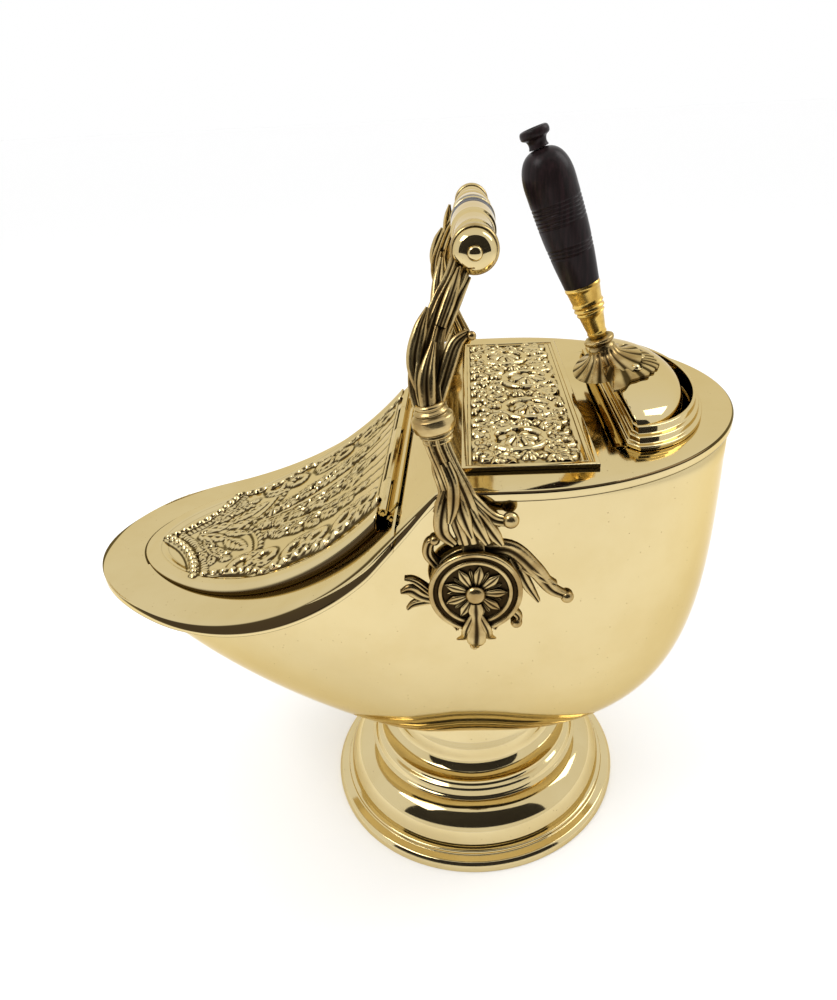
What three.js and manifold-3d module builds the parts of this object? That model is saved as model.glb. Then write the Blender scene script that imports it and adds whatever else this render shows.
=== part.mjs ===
// Helmet coal scuttle of polished brass: a boat-shaped body on a spun foot, with a hinged lid over
// the mouth, an embossed panel on the deck, a swinging bail on two cast arms, and a shovel that
// stands in a pocket behind the panel.
//
// Millimetres, +Z up. Inside this file the foot's axis is x = 0, y = 0 and the floor is z = 0; the
// lip points to -X and the shovel stands at +X. The exported group is moved along X only, so that
// its origin is under the middle of the whole length.

import * as THREE from 'three';
import { mergeVertices } from 'three/addons/utils/BufferGeometryUtils.js';
import { ParametricGeometry } from 'three/addons/geometries/ParametricGeometry.js';
import Module from 'manifold-3d';

const wasm = await Module();
wasm.setup();

// ---------------------------------------------------------------- driving dimensions

const SEAT_GAP = 0.3;            // clearance between pieces that touch
const SHEET = 1.2;               // brass sheet of the body, deck, lid, pocket and shovel

// Plan of the top: a half circle behind, straight sides, then a long taper to the lip.
const RIM_HALF_WIDTH = 152;
const REAR_CENTRE_X = 36;        // centre of the rear half circle
const TAPER_ROOT_X = -50;        // where the sides start to taper
const LIP_LENGTH = 234.5;        // from the taper's root to the tip of the lip
const TAPER_POWER = 1.2;         // 1 for an ellipse, larger for a more pointed tip

// Height of the top along the length: flat lip, hollow saddle, ramp, flat deck.
const LIP_Z = 242;
const SADDLE_START_X = -215;
const SADDLE_RADIUS = 228;
const DECK_Z = 352.5;
const SKIRT_DEPTH = 6;            // the rim's turned-down edge
const SEAM_X = -38;              // joint between the mouth rim and the deck plate

// Body.
const BODY_SIDE_INSET = 2.3;     // body inside the rim's edge, at the sides and behind
const BODY_LIP_INSET = 7.5;      // body behind the tip of the lip
const BODY_TAPER_POWER = 1.5;
const BODY_BOTTOM_Z = 101;
const BODY_FLAT_RADIUS = 55;     // flat disc at the bottom of the body
const BODY_CENTRE_X = -4;
const BULGE_REAR = [0.61, 0.52]; // powers of the section's cosine (reach) and sine (drop)
const BULGE_SIDE = [0.97, 0.98];
const BULGE_LIP = [1.18, 1.61];

// Mouth and lid.
const LID_HALF_WIDTH = 117;
const LID_LENGTH = 202;          // from the taper's root to the lid's tip
const LID_TAPER_POWER = 1.25;
const LID_RAISE = 7.4;           // top of the lid above the rim
const LID_REAR_X = -52;
const MOUTH_LEDGE = 6;           // rim that the lid's edge overlaps
const MOUTH_REAR_X = -58;

// Lid hinge.
const HINGE_X = -48;
const HINGE_LIFT = 3.3;          // pin's axis above the ramp
const HINGE_HALF_LENGTH = 110;
const HINGE_KNUCKLES = 5;
const HINGE_BARREL_RADIUS = 2.7;
const HINGE_PIN_RADIUS = 1.2;
const HINGE_LEAF_LENGTH = 9;

// Embossed panel on the deck and the frame around it.
const PANEL_FRONT_X = 1.7;
const PANEL_REAR_X = 80.8;
const PANEL_HALF_WIDTH = 125.5;
const PANEL_PLATE = 1.6;
const FRAME_WIDTH = 6;
const FRAME_HEIGHT = 4;
const FRAME_LEDGE_WIDTH = 2.2;
const FRAME_LEDGE_HEIGHT = 2.2;
const MEDALLION_COUNT = 4;
const MEDALLION_RADIUS_X = 29;
const MEDALLION_RADIUS_Y = 24;
const MEDALLION_RELIEF = 1.2;

// Slot for the shovel, with a stepped moulding around it and a pocket below it.
const SLOT_FRONT_X = 107.5;
const SLOT_DEPTH = 52;           // from its straight front to the back of its curve
const SLOT_HALF_WIDTH = 92;
const SLOT_STEPS = [             // [bar in front, wider behind, wider at the sides, height]
  [6.5, 5.9, 13.5, 3],
  [4.3, 3.6, 9, 7],
  [2, 1.8, 3.5, 11.5],
];
const POCKET_FLOOR_Z = 196;
const POCKET_FLANGE = 6;

// Shovel.
const SHOVEL_PLAY = 0.4;         // between the shovel's open front and the slot's
const HEEL_DEPTH = 45.2;         // from the shovel's open front to the back of the heel
const HEEL_HALF_WIDTH = 90;
const HEEL_HEIGHT = 22;          // heel above the deck
const HEEL_POWER = 0.5;          // 1 for an ellipse, smaller for a flatter top and steeper sides
const HEEL_LEAN = 28;            // degrees that the heel's open edge leans forward
const BLADE_ROUND_HEIGHT = 60;   // height over which the blade's tip is rounded
const HANDLE_FOOT_X = 99.5;      // where the handle's axis meets the collar's foot
const NECK_HEIGHT = 12;          // from the heel's top up to the collar's foot
const HANDLE_LEAN = 19.3;        // degrees forward of upright
const FAN_THICKNESS = 2.6;
const FAN_OUTLINE = [            // [behind the shovel's front, aside] of the fan's edge
  [-12, 62], [-1, 58], [5, 43], [15, 39], [25, 25], [31, 11],
];
const FAN_RIVETS = [[11, -25], [18, 0], [11, 25]];
const COLLAR_RADIUS = 10.4;
const COLLAR_HEIGHT = 7;
const TANG_RADIUS = 3;
const FERRULE_FOOT_RADIUS = 5.6;
const FERRULE_TOP_RADIUS = 12;
const FERRULE_LENGTH = 38;
const HANDLE_LENGTH = 88;
const HANDLE_RADIUS = 16.8;
const HANDLE_BORE_DEPTH = 32;
const HANDLE_DOME_HEIGHT = 24;
const FINIAL_NECK_RADIUS = 5.8;
const FINIAL_CAP_RADIUS = 9.3;
const FINIAL_LENGTH = 12;

// Bail pivots on the body's sides.
const PIVOT_X = 7.5;
const PIVOT_Z = 292;
const STUD_RADIUS = 4;
const PLATE_FACE_INSET = 0.6;
const PLATE_FACE_Y = RIM_HALF_WIDTH - PLATE_FACE_INSET;  // outer face of the escutcheon's disc
const EYE_RADIUS = 15;
const EYE_THICKNESS = 4.6;
const ROUNDEL_RADIUS = 27;
const ROUNDEL_THICKNESS = 3.2;
const PETAL_COUNT = 12;
const PETAL_RELIEF = 1.6;
const NUT_RADIUS = 8;
const NUT_THICKNESS = 4;

// Arms of the bail: upright beside the body, then bent in to the grip.
const ARM_STAND_OFF = 6.4;
const ARM_Y = RIM_HALF_WIDTH + ARM_STAND_OFF;            // middle of the arm beside the body
const ARM_BEND_START = 0.3;      // share of the height where the bend begins
const ARM_BEND_POWER = 2.2;

// Grip between the two arms.
const GRIP_X = 13;
const GRIP_Z = 472.4;
const ROD_RADIUS = 4;
const GRIP_EYE_RADIUS = 12.6;
const GRIP_EYE_WIDTH = 9;
const GRIP_SIDE_INSET = 39;      // ends of the grip inside the rim's sides
const GRIP_EYE_OUTER_Y = RIM_HALF_WIDTH - GRIP_SIDE_INSET;
const GRIP_EYE_INNER_Y = GRIP_EYE_OUTER_Y - GRIP_EYE_WIDTH;
const GRIP_RADIUS = 14.2;
const BAND_HALF_WIDTH = 1.5;
const COLLAR_END_Y = 18;
const CAP_RADIUS = 11.4;
const CAP_LENGTH = 8.5;
const SCREW_RADIUS = 2.2;
const SCREW_HEAD_RADIUS = 3.8;

// Foot.
const FOOT_RADIUS = 125;
const FOOT_WALL = 1.6;
const FOOT_HEM = 5;              // width of the ring that stands on the floor
const FOOT_TOP_RADIUS = 57;
const FOOT_COVE_INSET = 44.5;    // middle of the upper cove inside the foot's edge
const FOOT_COVE_Z = 67.5;
const FOOT_COVE_RADIUS_X = 13.5;
const FOOT_COVE_RADIUS_Z = 14.5;
const FOOT_COVE_ARC = [-92, -172];
const FOOT_NECK_Z = 88;
const BOLT_RADIUS = 4;

// Rivets.
const RIVET_RADIUS = 1.4;
const RIVET_HEAD_RADIUS = 2.8;
const RIVET_HEAD_HEIGHT = 1.3;

// ---------------------------------------------------------------- solids

const RAD = Math.PI / 180;

// A closed geometry as a solid, with its faces turned outwards.
function toSolid(geometry) {
  const bare = geometry.clone();
  bare.deleteAttribute('normal');
  bare.deleteAttribute('uv');
  const welded = mergeVertices(bare, 1e-4);
  const position = welded.getAttribute('position');
  const corners = welded.index.array;
  const faces = [];
  const [a, b, c] = [new THREE.Vector3(), new THREE.Vector3(), new THREE.Vector3()];
  let volume = 0;
  for (let i = 0; i < corners.length; i += 3) {
    const [p, q, r] = [corners[i], corners[i + 1], corners[i + 2]];
    if (p === q || q === r || r === p) continue;
    faces.push([p, q, r]);
    a.fromBufferAttribute(position, p);
    b.fromBufferAttribute(position, q);
    c.fromBufferAttribute(position, r);
    volume += a.dot(b.cross(c));
  }
  const outward = volume > 0 ? faces : faces.map(([p, q, r]) => [p, r, q]);
  const mesh = new wasm.Mesh({
    numProp: 3,
    vertProperties: new Float32Array(position.array),
    triVerts: new Uint32Array(outward.flat()),
  });
  return new wasm.Manifold(mesh);
}

function toGeometry(solid) {
  const { vertProperties, triVerts } = solid.getMesh();
  const geometry = new THREE.BufferGeometry();
  geometry.setAttribute('position', new THREE.BufferAttribute(vertProperties, 3));
  geometry.setIndex(new THREE.BufferAttribute(triVerts, 1));
  geometry.computeVertexNormals();
  return geometry;
}

function join(...geometries) {
  const solids = geometries.map(toSolid);
  return toGeometry(solids.reduce((whole, piece) => whole.add(piece)));
}

function cut(geometry, ...tools) {
  const solids = tools.map(toSolid);
  return toGeometry(solids.reduce((whole, tool) => whole.subtract(tool), toSolid(geometry)));
}

function common(first, second) {
  return toGeometry(toSolid(first).intersect(toSolid(second)));
}

// ---------------------------------------------------------------- shapes

const point = (x, y) => new THREE.Vector2(x, y);

// Points of an elliptical arc, angles in degrees.
function arc(x, y, radiusX, radiusY, from, to, steps) {
  const points = [];
  for (let i = 0; i <= steps; i += 1) {
    const angle = (from + (to - from) * i / steps) * RAD;
    points.push(point(x + radiusX * Math.cos(angle), y + radiusY * Math.sin(angle)));
  }
  return points;
}

function box(low, high) {
  const size = high.map((value, i) => value - low[i]);
  const geometry = new THREE.BoxGeometry(...size);
  return geometry.translate(...low.map((value, i) => value + size[i] / 2));
}

// A plan outline raised from one height to another.
function prism(outline, low, high) {
  const options = { depth: high - low, bevelEnabled: false };
  return new THREE.ExtrudeGeometry(new THREE.Shape(outline), options).translate(0, 0, low);
}

// A shape turned about Z: points are (radius, height).
function turned(profile, sides) {
  return new THREE.LatheGeometry(profile, sides).rotateX(Math.PI / 2);
}

// A shape turned about a line along Y through (x, z): points are (radius, y).
function turnedAlongY(profile, sides, x, z) {
  return new THREE.LatheGeometry(profile, sides).translate(x, 0, z);
}

function rodProfile(radius, from, to) {
  return [point(0, from), point(radius, from), point(radius, to), point(0, to)];
}

function tubeProfile(inner, outer, from, to) {
  return [point(inner, from), point(outer, from), point(outer, to), point(inner, to), point(inner, from)];
}

// A hexagonal nut about Z with a round bore.
function nut(bore, radius, low, high) {
  return cut(turned(rodProfile(radius, low, high), 6), turned(rodProfile(bore, low - 1, high + 1), 12));
}

// The same piece on the other side of the scuttle.
const mirrored = (geometry) => toGeometry(toSolid(geometry.clone().scale(1, -1, 1)));

// A tapering body through stations [x, y, z, half width, half thickness]. The thickness is
// measured along Y where the body runs upright.
function horn(stations, sides = 5, steps = stations.length + 1) {
  const path = new THREE.CatmullRomCurve3(stations.map(([x, y, z]) => new THREE.Vector3(x, y, z)));
  const sizes = new THREE.CatmullRomCurve3(stations.map(([, , , w, t]) => new THREE.Vector3(w, t, 0)));
  const depth = new THREE.Vector3(0, 1, 0);
  const surface = (around, along, target) => {
    const stop = Math.round(along * (steps + 2));
    const t = Math.min(Math.max((stop - 1) / steps, 0), 1);
    const centre = path.getPoint(t);
    const pole = stop === 0 || stop === steps + 2;
    if (pole) {
      target.copy(centre);
      return;
    }
    const size = sizes.getPoint(t);
    const tangent = path.getTangent(t);
    const across = new THREE.Vector3().crossVectors(depth, tangent).normalize();
    const through = new THREE.Vector3().crossVectors(tangent, across);
    const angle = 2 * Math.PI * (Math.round(around * sides) % sides) / sides;
    target.copy(centre);
    target.addScaledVector(across, size.x * Math.cos(angle));
    target.addScaledVector(through, size.y * Math.sin(angle));
  };
  return new ParametricGeometry(surface, sides, steps + 2);
}

// A rivet standing on z = 0 with its head up and its shank down, closed over at the end.
function rivet(grip) {
  const profile = [
    ...arc(0, 0, RIVET_HEAD_RADIUS, RIVET_HEAD_HEIGHT, 90, 0, 2),
    point(RIVET_RADIUS, 0),
    point(RIVET_RADIUS, -grip),
    point(RIVET_HEAD_RADIUS * 0.8, -grip),
    point(0, -grip - RIVET_HEAD_HEIGHT / 2),
  ];
  return turned(profile, 6);
}

function rivetHole(grip) {
  return turned(rodProfile(RIVET_RADIUS + SEAT_GAP, -grip - 2, 2), 6);
}

// ---------------------------------------------------------------- plan and height of the top

// Plan outline of the rim, drawn in by the given amounts at the sides and at the lip.
function planOutline(sideInset, lipInset, power = TAPER_POWER, steps = 9) {
  const half = RIM_HALF_WIDTH - sideInset;
  const reach = LIP_LENGTH - lipInset;
  const rear = arc(REAR_CENTRE_X, 0, half, half, 0, 90, steps);
  const corner = deckCornerX(0);
  const side = [REAR_CENTRE_X + corner, 2 * corner, corner + TAPER_ROOT_X].map((sum) => point(sum / 2, half));
  const lip = taper(half, reach, power, steps);
  const farSide = [...rear, ...side, ...lip];
  const nearSide = farSide.slice(1, -1).reverse().map(({ x, y }) => point(x, -y));
  return [...farSide, ...nearSide];
}

// One side of a tapering tip, from its root at full width to the tip.
function taper(half, reach, power, steps) {
  const points = [];
  for (let i = 0; i <= steps; i += 1) {
    const angle = 90 * RAD * i / steps;
    points.push(point(TAPER_ROOT_X - reach * Math.sin(angle) ** power, half * Math.cos(angle)));
  }
  points[steps].y = 0;
  return points;
}

// Outline of the lid's family: the tapering tip closed by a straight line at the rear.
function tongue(half, reach, rearX, steps = 11) {
  const side = taper(half, reach, LID_TAPER_POWER, steps).filter(({ x }) => x < rearX);
  const farSide = [point(rearX, half), ...side];
  const nearSide = farSide.slice(0, -1).reverse().map(({ x, y }) => point(x, -y));
  return [...farSide, ...nearSide];
}

const saddleRun = TAPER_ROOT_X - SADDLE_START_X;
const RAMP_SLOPE = saddleRun / Math.sqrt(SADDLE_RADIUS ** 2 - saddleRun ** 2);
const RAMP_ANGLE = Math.atan(RAMP_SLOPE);
const RAMP_FOOT_Z = LIP_Z + SADDLE_RADIUS - Math.sqrt(SADDLE_RADIUS ** 2 - saddleRun ** 2);

// Height of the top sheet's outer face at x, or of a surface lifted off it along its normal.
function crestZ(x, lift = 0) {
  if (x <= SADDLE_START_X) return LIP_Z + lift;
  if (x <= TAPER_ROOT_X) {
    return LIP_Z + SADDLE_RADIUS - Math.sqrt((SADDLE_RADIUS - lift) ** 2 - (x - SADDLE_START_X) ** 2);
  }
  const ramp = RAMP_FOOT_Z + (x - TAPER_ROOT_X) * RAMP_SLOPE + lift * Math.hypot(1, RAMP_SLOPE);
  return Math.min(ramp, DECK_Z + lift);
}

// Where the ramp meets the deck, for a lifted surface.
function deckCornerX(lift) {
  return TAPER_ROOT_X + (DECK_Z + lift * (1 - Math.hypot(1, RAMP_SLOPE)) - RAMP_FOOT_Z) / RAMP_SLOPE;
}

// The space between two lifted copies of the top, right across the scuttle.
function crestSlab(lowLift, highLift, steps = 10) {
  const edge = (lift) => {
    const saddle = [];
    for (let i = 0; i <= steps; i += 1) saddle.push(SADDLE_START_X + saddleRun * i / steps);
    const ends = [TAPER_ROOT_X - 2 * LIP_LENGTH, REAR_CENTRE_X + 2 * RIM_HALF_WIDTH];
    const stations = [ends[0], ...saddle, deckCornerX(lift), ends[1]];
    return stations.map((x) => point(x, crestZ(x, lift)));
  };
  const shape = new THREE.Shape([...edge(lowLift), ...edge(highLift).reverse()]);
  const depth = 4 * RIM_HALF_WIDTH;
  const slab = new THREE.ExtrudeGeometry(shape, { depth, bevelEnabled: false });
  return slab.rotateX(Math.PI / 2).translate(0, depth / 2, 0);
}

const TALL = 2 * DECK_Z;

// A sheet that follows the top, with its edge turned down, inside a plan outline.
function turnedDownSheet(outer, inner, topLift, bottomLift, edgeLift) {
  const top = common(crestSlab(bottomLift, topLift), prism(outer, 0, TALL));
  const wall = cut(prism(outer, 0, TALL), prism(inner, -1, TALL + 1));
  return join(top, common(crestSlab(edgeLift, topLift), wall));
}

// Half of an ellipse closed by its straight front: the family of the shovel's slot.
function slotOutline(frontX, depth, halfWidth, steps = 12) {
  return arc(frontX, 0, depth, halfWidth, -90, 90, steps);
}

// ---------------------------------------------------------------- body, rim and deck

// Point of the body's wall below a plan point: angle 0 at the rim, 90 degrees at the flat bottom.
function wallPoint(plan, angle, thickness, target) {
  const reach = Math.hypot(plan.x - BODY_CENTRE_X, plan.y);
  const cosine = (plan.x - BODY_CENTRE_X) / reach;
  const end = cosine > 0 ? BULGE_REAR : BULGE_LIP;
  const [h, v] = BULGE_SIDE.map((side, i) => side + (end[i] - side) * cosine ** 2);
  const inward = (BODY_FLAT_RADIUS + (reach - BODY_FLAT_RADIUS) * Math.cos(angle) ** h) / reach;
  const topZ = crestZ(plan.x);
  const bottomZ = BODY_BOTTOM_Z + thickness;
  target.x = BODY_CENTRE_X + (plan.x - BODY_CENTRE_X) * inward;
  target.y = plan.y * inward;
  target.z = topZ - (topZ - bottomZ) * Math.sin(angle) ** v;
}

const WALL_RINGS = 8;
const TRIM = 20;                 // height that is cut away above the body's edge

// The body between two surfaces, pierced at the bottom by the foot's bolt.
function bodyWall(thickness, holeRadius) {
  const faces = [0, thickness].map((inset) => ({
    plan: planOutline(BODY_SIDE_INSET + inset, BODY_LIP_INSET + inset, BODY_TAPER_POWER),
    inset,
  }));
  const slices = faces[0].plan.length;
  const rings = WALL_RINGS + 2;
  const surface = (around, along, target) => {
    const stop = Math.round(along * 2 * rings) % (2 * rings);
    const inside = stop >= rings;
    const ring = inside ? 2 * rings - 1 - stop : stop;
    const { plan, inset } = faces[inside ? 1 : 0];
    const planPoint = plan[Math.round(around * slices) % slices];
    const angle = Math.min(ring / WALL_RINGS, 1) * Math.PI / 2;
    wallPoint(planPoint, angle, inset, target);
    if (ring > WALL_RINGS) {
      const heading = Math.atan2(target.y, target.x - BODY_CENTRE_X);
      target.x = holeRadius * Math.cos(heading);
      target.y = holeRadius * Math.sin(heading);
    }
  };
  return new ParametricGeometry(surface, slices, 2 * rings);
}

// Everything inside the body's outer face, grown by the seat gap: what sits on the body is cut by it.
function bodyBlock() {
  const plan = planOutline(BODY_SIDE_INSET - SEAT_GAP, BODY_LIP_INSET - SEAT_GAP, BODY_TAPER_POWER);
  const slices = plan.length;
  const surface = (around, along, target) => {
    const stop = Math.round(along * (WALL_RINGS + 2));
    const planPoint = plan[Math.round(around * slices) % slices];
    const ring = Math.min(Math.max(stop - 1, 0), WALL_RINGS);
    wallPoint(planPoint, ring / WALL_RINGS * Math.PI / 2, -SEAT_GAP, target);
    if (stop === 0) target.set(BODY_CENTRE_X, 0, DECK_Z);
    if (stop === WALL_RINGS + 2) target.set(BODY_CENTRE_X, 0, target.z);
  };
  return new ParametricGeometry(surface, slices, WALL_RINGS + 2);
}

// Half width of the body's outer face at a height, beside the pivots.
function bodySideY(z) {
  const [h, v] = BULGE_SIDE;
  const angle = Math.asin(((DECK_Z - z) / (DECK_Z - BODY_BOTTOM_Z)) ** (1 / v));
  const half = RIM_HALF_WIDTH - BODY_SIDE_INSET;
  return BODY_FLAT_RADIUS + (half - BODY_FLAT_RADIUS) * Math.cos(angle) ** h;
}

function bodyShell() {
  const reach = 2 * RIM_HALF_WIDTH;
  const studHole = turnedAlongY(rodProfile(STUD_RADIUS + SEAT_GAP, -reach, reach), 12, PIVOT_X, PIVOT_Z);
  const above = crestSlab(-SHEET - SEAT_GAP, TRIM);
  return cut(bodyWall(SHEET, BOLT_RADIUS + SEAT_GAP), studHole, above);
}

function rimSheet() {
  return turnedDownSheet(planOutline(0, 0), planOutline(SHEET, SHEET), 0, -SHEET, -SKIRT_DEPTH);
}

function mouthRim() {
  const half = LID_HALF_WIDTH - MOUTH_LEDGE;
  const mouth = tongue(half, LID_LENGTH - MOUTH_LEDGE, MOUTH_REAR_X);
  const front = box([-2 * LIP_LENGTH, -TALL, 0], [SEAM_X - SEAT_GAP / 2, TALL, TALL]);
  return cut(common(rimSheet(), front), prism(mouth, 0, TALL));
}

function deckPlate() {
  const rear = box([SEAM_X + SEAT_GAP / 2, -TALL, 0], [2 * RIM_HALF_WIDTH, TALL, TALL]);
  const slot = slotOutline(SLOT_FRONT_X, SLOT_DEPTH, SLOT_HALF_WIDTH);
  return cut(common(rimSheet(), rear), prism(slot, 0, TALL));
}

// ---------------------------------------------------------------- lid and hinge

function lidPanel() {
  const outer = tongue(LID_HALF_WIDTH, LID_LENGTH, LID_REAR_X);
  const inner = tongue(LID_HALF_WIDTH - SHEET, LID_LENGTH - SHEET, LID_REAR_X + SHEET);
  return turnedDownSheet(outer, inner, LID_RAISE, LID_RAISE - SHEET, SEAT_GAP);
}

// Places a piece drawn on the flat beside the hinge pin: local x runs up the ramp, z off it.
function onRamp(geometry) {
  const pinZ = crestZ(HINGE_X, HINGE_LIFT);
  return geometry.rotateY(-RAMP_ANGLE).translate(HINGE_X, 0, pinZ);
}

const lidLeafTop = LID_RAISE - SHEET - SEAT_GAP - HINGE_LIFT;
const deckLeafTop = -HINGE_LIFT + SEAT_GAP + SHEET;

// One leaf of the hinge: a strip with every other knuckle, cleared for the other leaf's.
function hingeLeaf(direction, top, firstKnuckle) {
  const pitch = 2 * HINGE_HALF_LENGTH / HINGE_KNUCKLES;
  const knuckleStart = (i) => -HINGE_HALF_LENGTH + pitch * i;
  const clear = HINGE_BARREL_RADIUS + 2 * SEAT_GAP;
  const ends = [0, direction * (HINGE_LEAF_LENGTH + HINGE_BARREL_RADIUS)].sort((p, q) => p - q);
  const strip = box([ends[0], -HINGE_HALF_LENGTH, top - SHEET], [ends[1], HINGE_HALF_LENGTH, top]);
  const knuckles = [];
  const notches = [];
  for (let i = 0; i < HINGE_KNUCKLES; i += 1) {
    const from = knuckleStart(i);
    const own = i % 2 === firstKnuckle;
    if (own) {
      const span = rodProfile(HINGE_BARREL_RADIUS, from + SEAT_GAP / 2, from + pitch - SEAT_GAP / 2);
      knuckles.push(turnedAlongY(span, 8, 0, 0));
    } else {
      notches.push(box([-clear, from - SEAT_GAP / 2, -clear], [clear, from + pitch + SEAT_GAP / 2, clear]));
    }
  }
  const reach = 2 * HINGE_HALF_LENGTH;
  const bore = turnedAlongY(rodProfile(HINGE_PIN_RADIUS + SEAT_GAP, -reach, reach), 8, 0, 0);
  return cut(join(cut(strip, ...notches), ...knuckles), bore);
}

const lidHingeLeaf = () => onRamp(hingeLeaf(-1, lidLeafTop, 0));
const deckHingeLeaf = () => onRamp(hingeLeaf(1, deckLeafTop, 1));

function hingePin() {
  const half = HINGE_HALF_LENGTH + 1.5;
  return onRamp(turnedAlongY(rodProfile(HINGE_PIN_RADIUS, -half, half), 8, 0, 0));
}

// ---------------------------------------------------------------- deck ornament

const rectangle = (x0, x1, half) => [point(x0, -half), point(x1, -half), point(x1, half), point(x0, half)];

function panelFrame() {
  const base = DECK_Z + SEAT_GAP;
  const tier = (width, height) => {
    const shape = rectangle(PANEL_FRONT_X, PANEL_REAR_X, PANEL_HALF_WIDTH);
    const hole = rectangle(PANEL_FRONT_X + width, PANEL_REAR_X - width, PANEL_HALF_WIDTH - width);
    return cut(prism(shape, base, base + height), prism(hole, base - 1, base + height + 1));
  };
  return join(tier(FRAME_WIDTH - FRAME_LEDGE_WIDTH, FRAME_HEIGHT), tier(FRAME_WIDTH, FRAME_LEDGE_HEIGHT));
}

// Embossed plate inside the frame: low medallions in a row across the scuttle.
function deckPanel() {
  const base = DECK_Z + SEAT_GAP;
  const inset = FRAME_WIDTH + SEAT_GAP;
  const half = PANEL_HALF_WIDTH - inset;
  const plate = prism(rectangle(PANEL_FRONT_X + inset, PANEL_REAR_X - inset, half), base, base + PANEL_PLATE);
  const pitch = 2 * half / MEDALLION_COUNT;
  const relief = PANEL_PLATE + MEDALLION_RELIEF;
  const profile = [point(0, 0), point(1, 0), point(1, PANEL_PLATE), point(0.8, relief), point(0, relief)];
  const dome = turned(profile, 12);
  const medallions = [];
  for (let i = 0; i < MEDALLION_COUNT; i += 1) {
    const medallion = dome.clone().scale(MEDALLION_RADIUS_X, MEDALLION_RADIUS_Y, 1);
    const middleX = (PANEL_FRONT_X + PANEL_REAR_X) / 2;
    medallions.push(medallion.translate(middleX, -half + pitch * (i + 0.5), base));
  }
  return join(plate, ...medallions);
}

function slotMoulding() {
  const base = DECK_Z + SEAT_GAP;
  const steps = SLOT_STEPS.map(([front, behind, beside, height]) => {
    const curve = slotOutline(SLOT_FRONT_X, SLOT_DEPTH + behind, SLOT_HALF_WIDTH + beside);
    const bar = [point(SLOT_FRONT_X - front, SLOT_HALF_WIDTH + beside)];
    bar.push(point(SLOT_FRONT_X - front, -SLOT_HALF_WIDTH - beside));
    return prism([...curve, ...bar], base, base + height);
  });
  const hole = prism(slotOutline(SLOT_FRONT_X, SLOT_DEPTH, SLOT_HALF_WIDTH), 0, TALL);
  return cut(join(...steps), hole);
}

// ---------------------------------------------------------------- pocket for the shovel

function shovelPocket() {
  const top = DECK_Z - SHEET - SEAT_GAP;
  const grown = (by) => {
    const curve = slotOutline(SLOT_FRONT_X, SLOT_DEPTH + by, SLOT_HALF_WIDTH + by);
    return [...curve, point(SLOT_FRONT_X - by, SLOT_HALF_WIDTH + by), point(SLOT_FRONT_X - by, -SLOT_HALF_WIDTH - by)];
  };
  const wall = prism(grown(SHEET), POCKET_FLOOR_Z, top);
  const flange = prism(grown(SHEET + POCKET_FLANGE), top - SHEET, top);
  const hollow = prism(grown(0), POCKET_FLOOR_Z + SHEET, TALL);
  return cut(join(wall, flange), hollow);
}

// ---------------------------------------------------------------- shovel

const SHOVEL_FRONT_X = SLOT_FRONT_X + SHOVEL_PLAY;

// Outer shape of the shovel: a flat-topped dome above the deck and a round blade below it.
function shovelForm(growth, bottomZ, steps = 7) {
  const dome = [];
  for (let i = 0; i <= steps; i += 1) {
    const angle = 90 * RAD * (1 - i / steps);
    const reach = Math.max(Math.cos(angle), 0) ** HEEL_POWER;
    dome.push(point(i === 0 ? 0 : reach, (HEEL_HEIGHT + growth) * Math.sin(angle) ** HEEL_POWER));
  }
  const profile = [...dome, point(1, bottomZ - DECK_Z), point(0, bottomZ - DECK_Z)];
  const form = turned(profile, 24).scale(HEEL_DEPTH + growth, HEEL_HALF_WIDTH + growth, 1);
  return form.translate(SHOVEL_FRONT_X, 0, DECK_Z);
}

// Height of the heel's top at a distance behind the shovel's front and aside from its middle.
function heelZ(behind, aside) {
  const share = Math.hypot(behind / HEEL_DEPTH, aside / HEEL_HALF_WIDTH) ** (2 / HEEL_POWER);
  return DECK_Z + HEEL_HEIGHT * (1 - share) ** (HEEL_POWER / 2);
}

const mouldingTopZ = DECK_Z + SEAT_GAP + Math.max(...SLOT_STEPS.map(([, , , height]) => height));
const bladeTipZ = POCKET_FLOOR_Z + SHEET + SEAT_GAP;

// The space in front of the shovel: upright below the moulding's top, leaning forward above it.
function openFront() {
  const bendZ = mouldingTopZ + SEAT_GAP;
  const highZ = DECK_Z + 3 * HEEL_HEIGHT;
  const reach = 2 * HEEL_DEPTH;
  const shape = new THREE.Shape([
    point(SHOVEL_FRONT_X, bladeTipZ - 2),
    point(SHOVEL_FRONT_X, bendZ),
    point(SHOVEL_FRONT_X - (highZ - bendZ) * Math.tan(HEEL_LEAN * RAD), highZ),
    point(SHOVEL_FRONT_X - reach, highZ),
    point(SHOVEL_FRONT_X - reach, bladeTipZ - 2),
  ]);
  const depth = 2 * HEEL_HALF_WIDTH + 2;
  const space = new THREE.ExtrudeGeometry(shape, { depth, bevelEnabled: false });
  return space.rotateX(Math.PI / 2).translate(0, depth / 2, 0);
}

function shovelBlade() {
  const shell = cut(shovelForm(0, bladeTipZ), shovelForm(-SHEET, bladeTipZ - 1), openFront());
  const high = DECK_Z + 2 * HEEL_HEIGHT;
  const wide = HEEL_HALF_WIDTH + 1;
  const roundZ = bladeTipZ + BLADE_ROUND_HEIGHT;
  const face = [point(wide, high), point(-wide, high), ...arc(0, roundZ, wide, BLADE_ROUND_HEIGHT, 180, 360, 12)];
  const depth = 3 * HEEL_DEPTH;
  const outline = new THREE.ExtrudeGeometry(new THREE.Shape(face), { depth, bevelEnabled: false });
  outline.rotateX(Math.PI / 2).rotateZ(Math.PI / 2).translate(SHOVEL_FRONT_X - HEEL_DEPTH, 0, 0);
  return cut(common(shell, outline), ...fanRivets(rivetHole(2 * SHEET + FAN_THICKNESS)));
}

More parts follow.
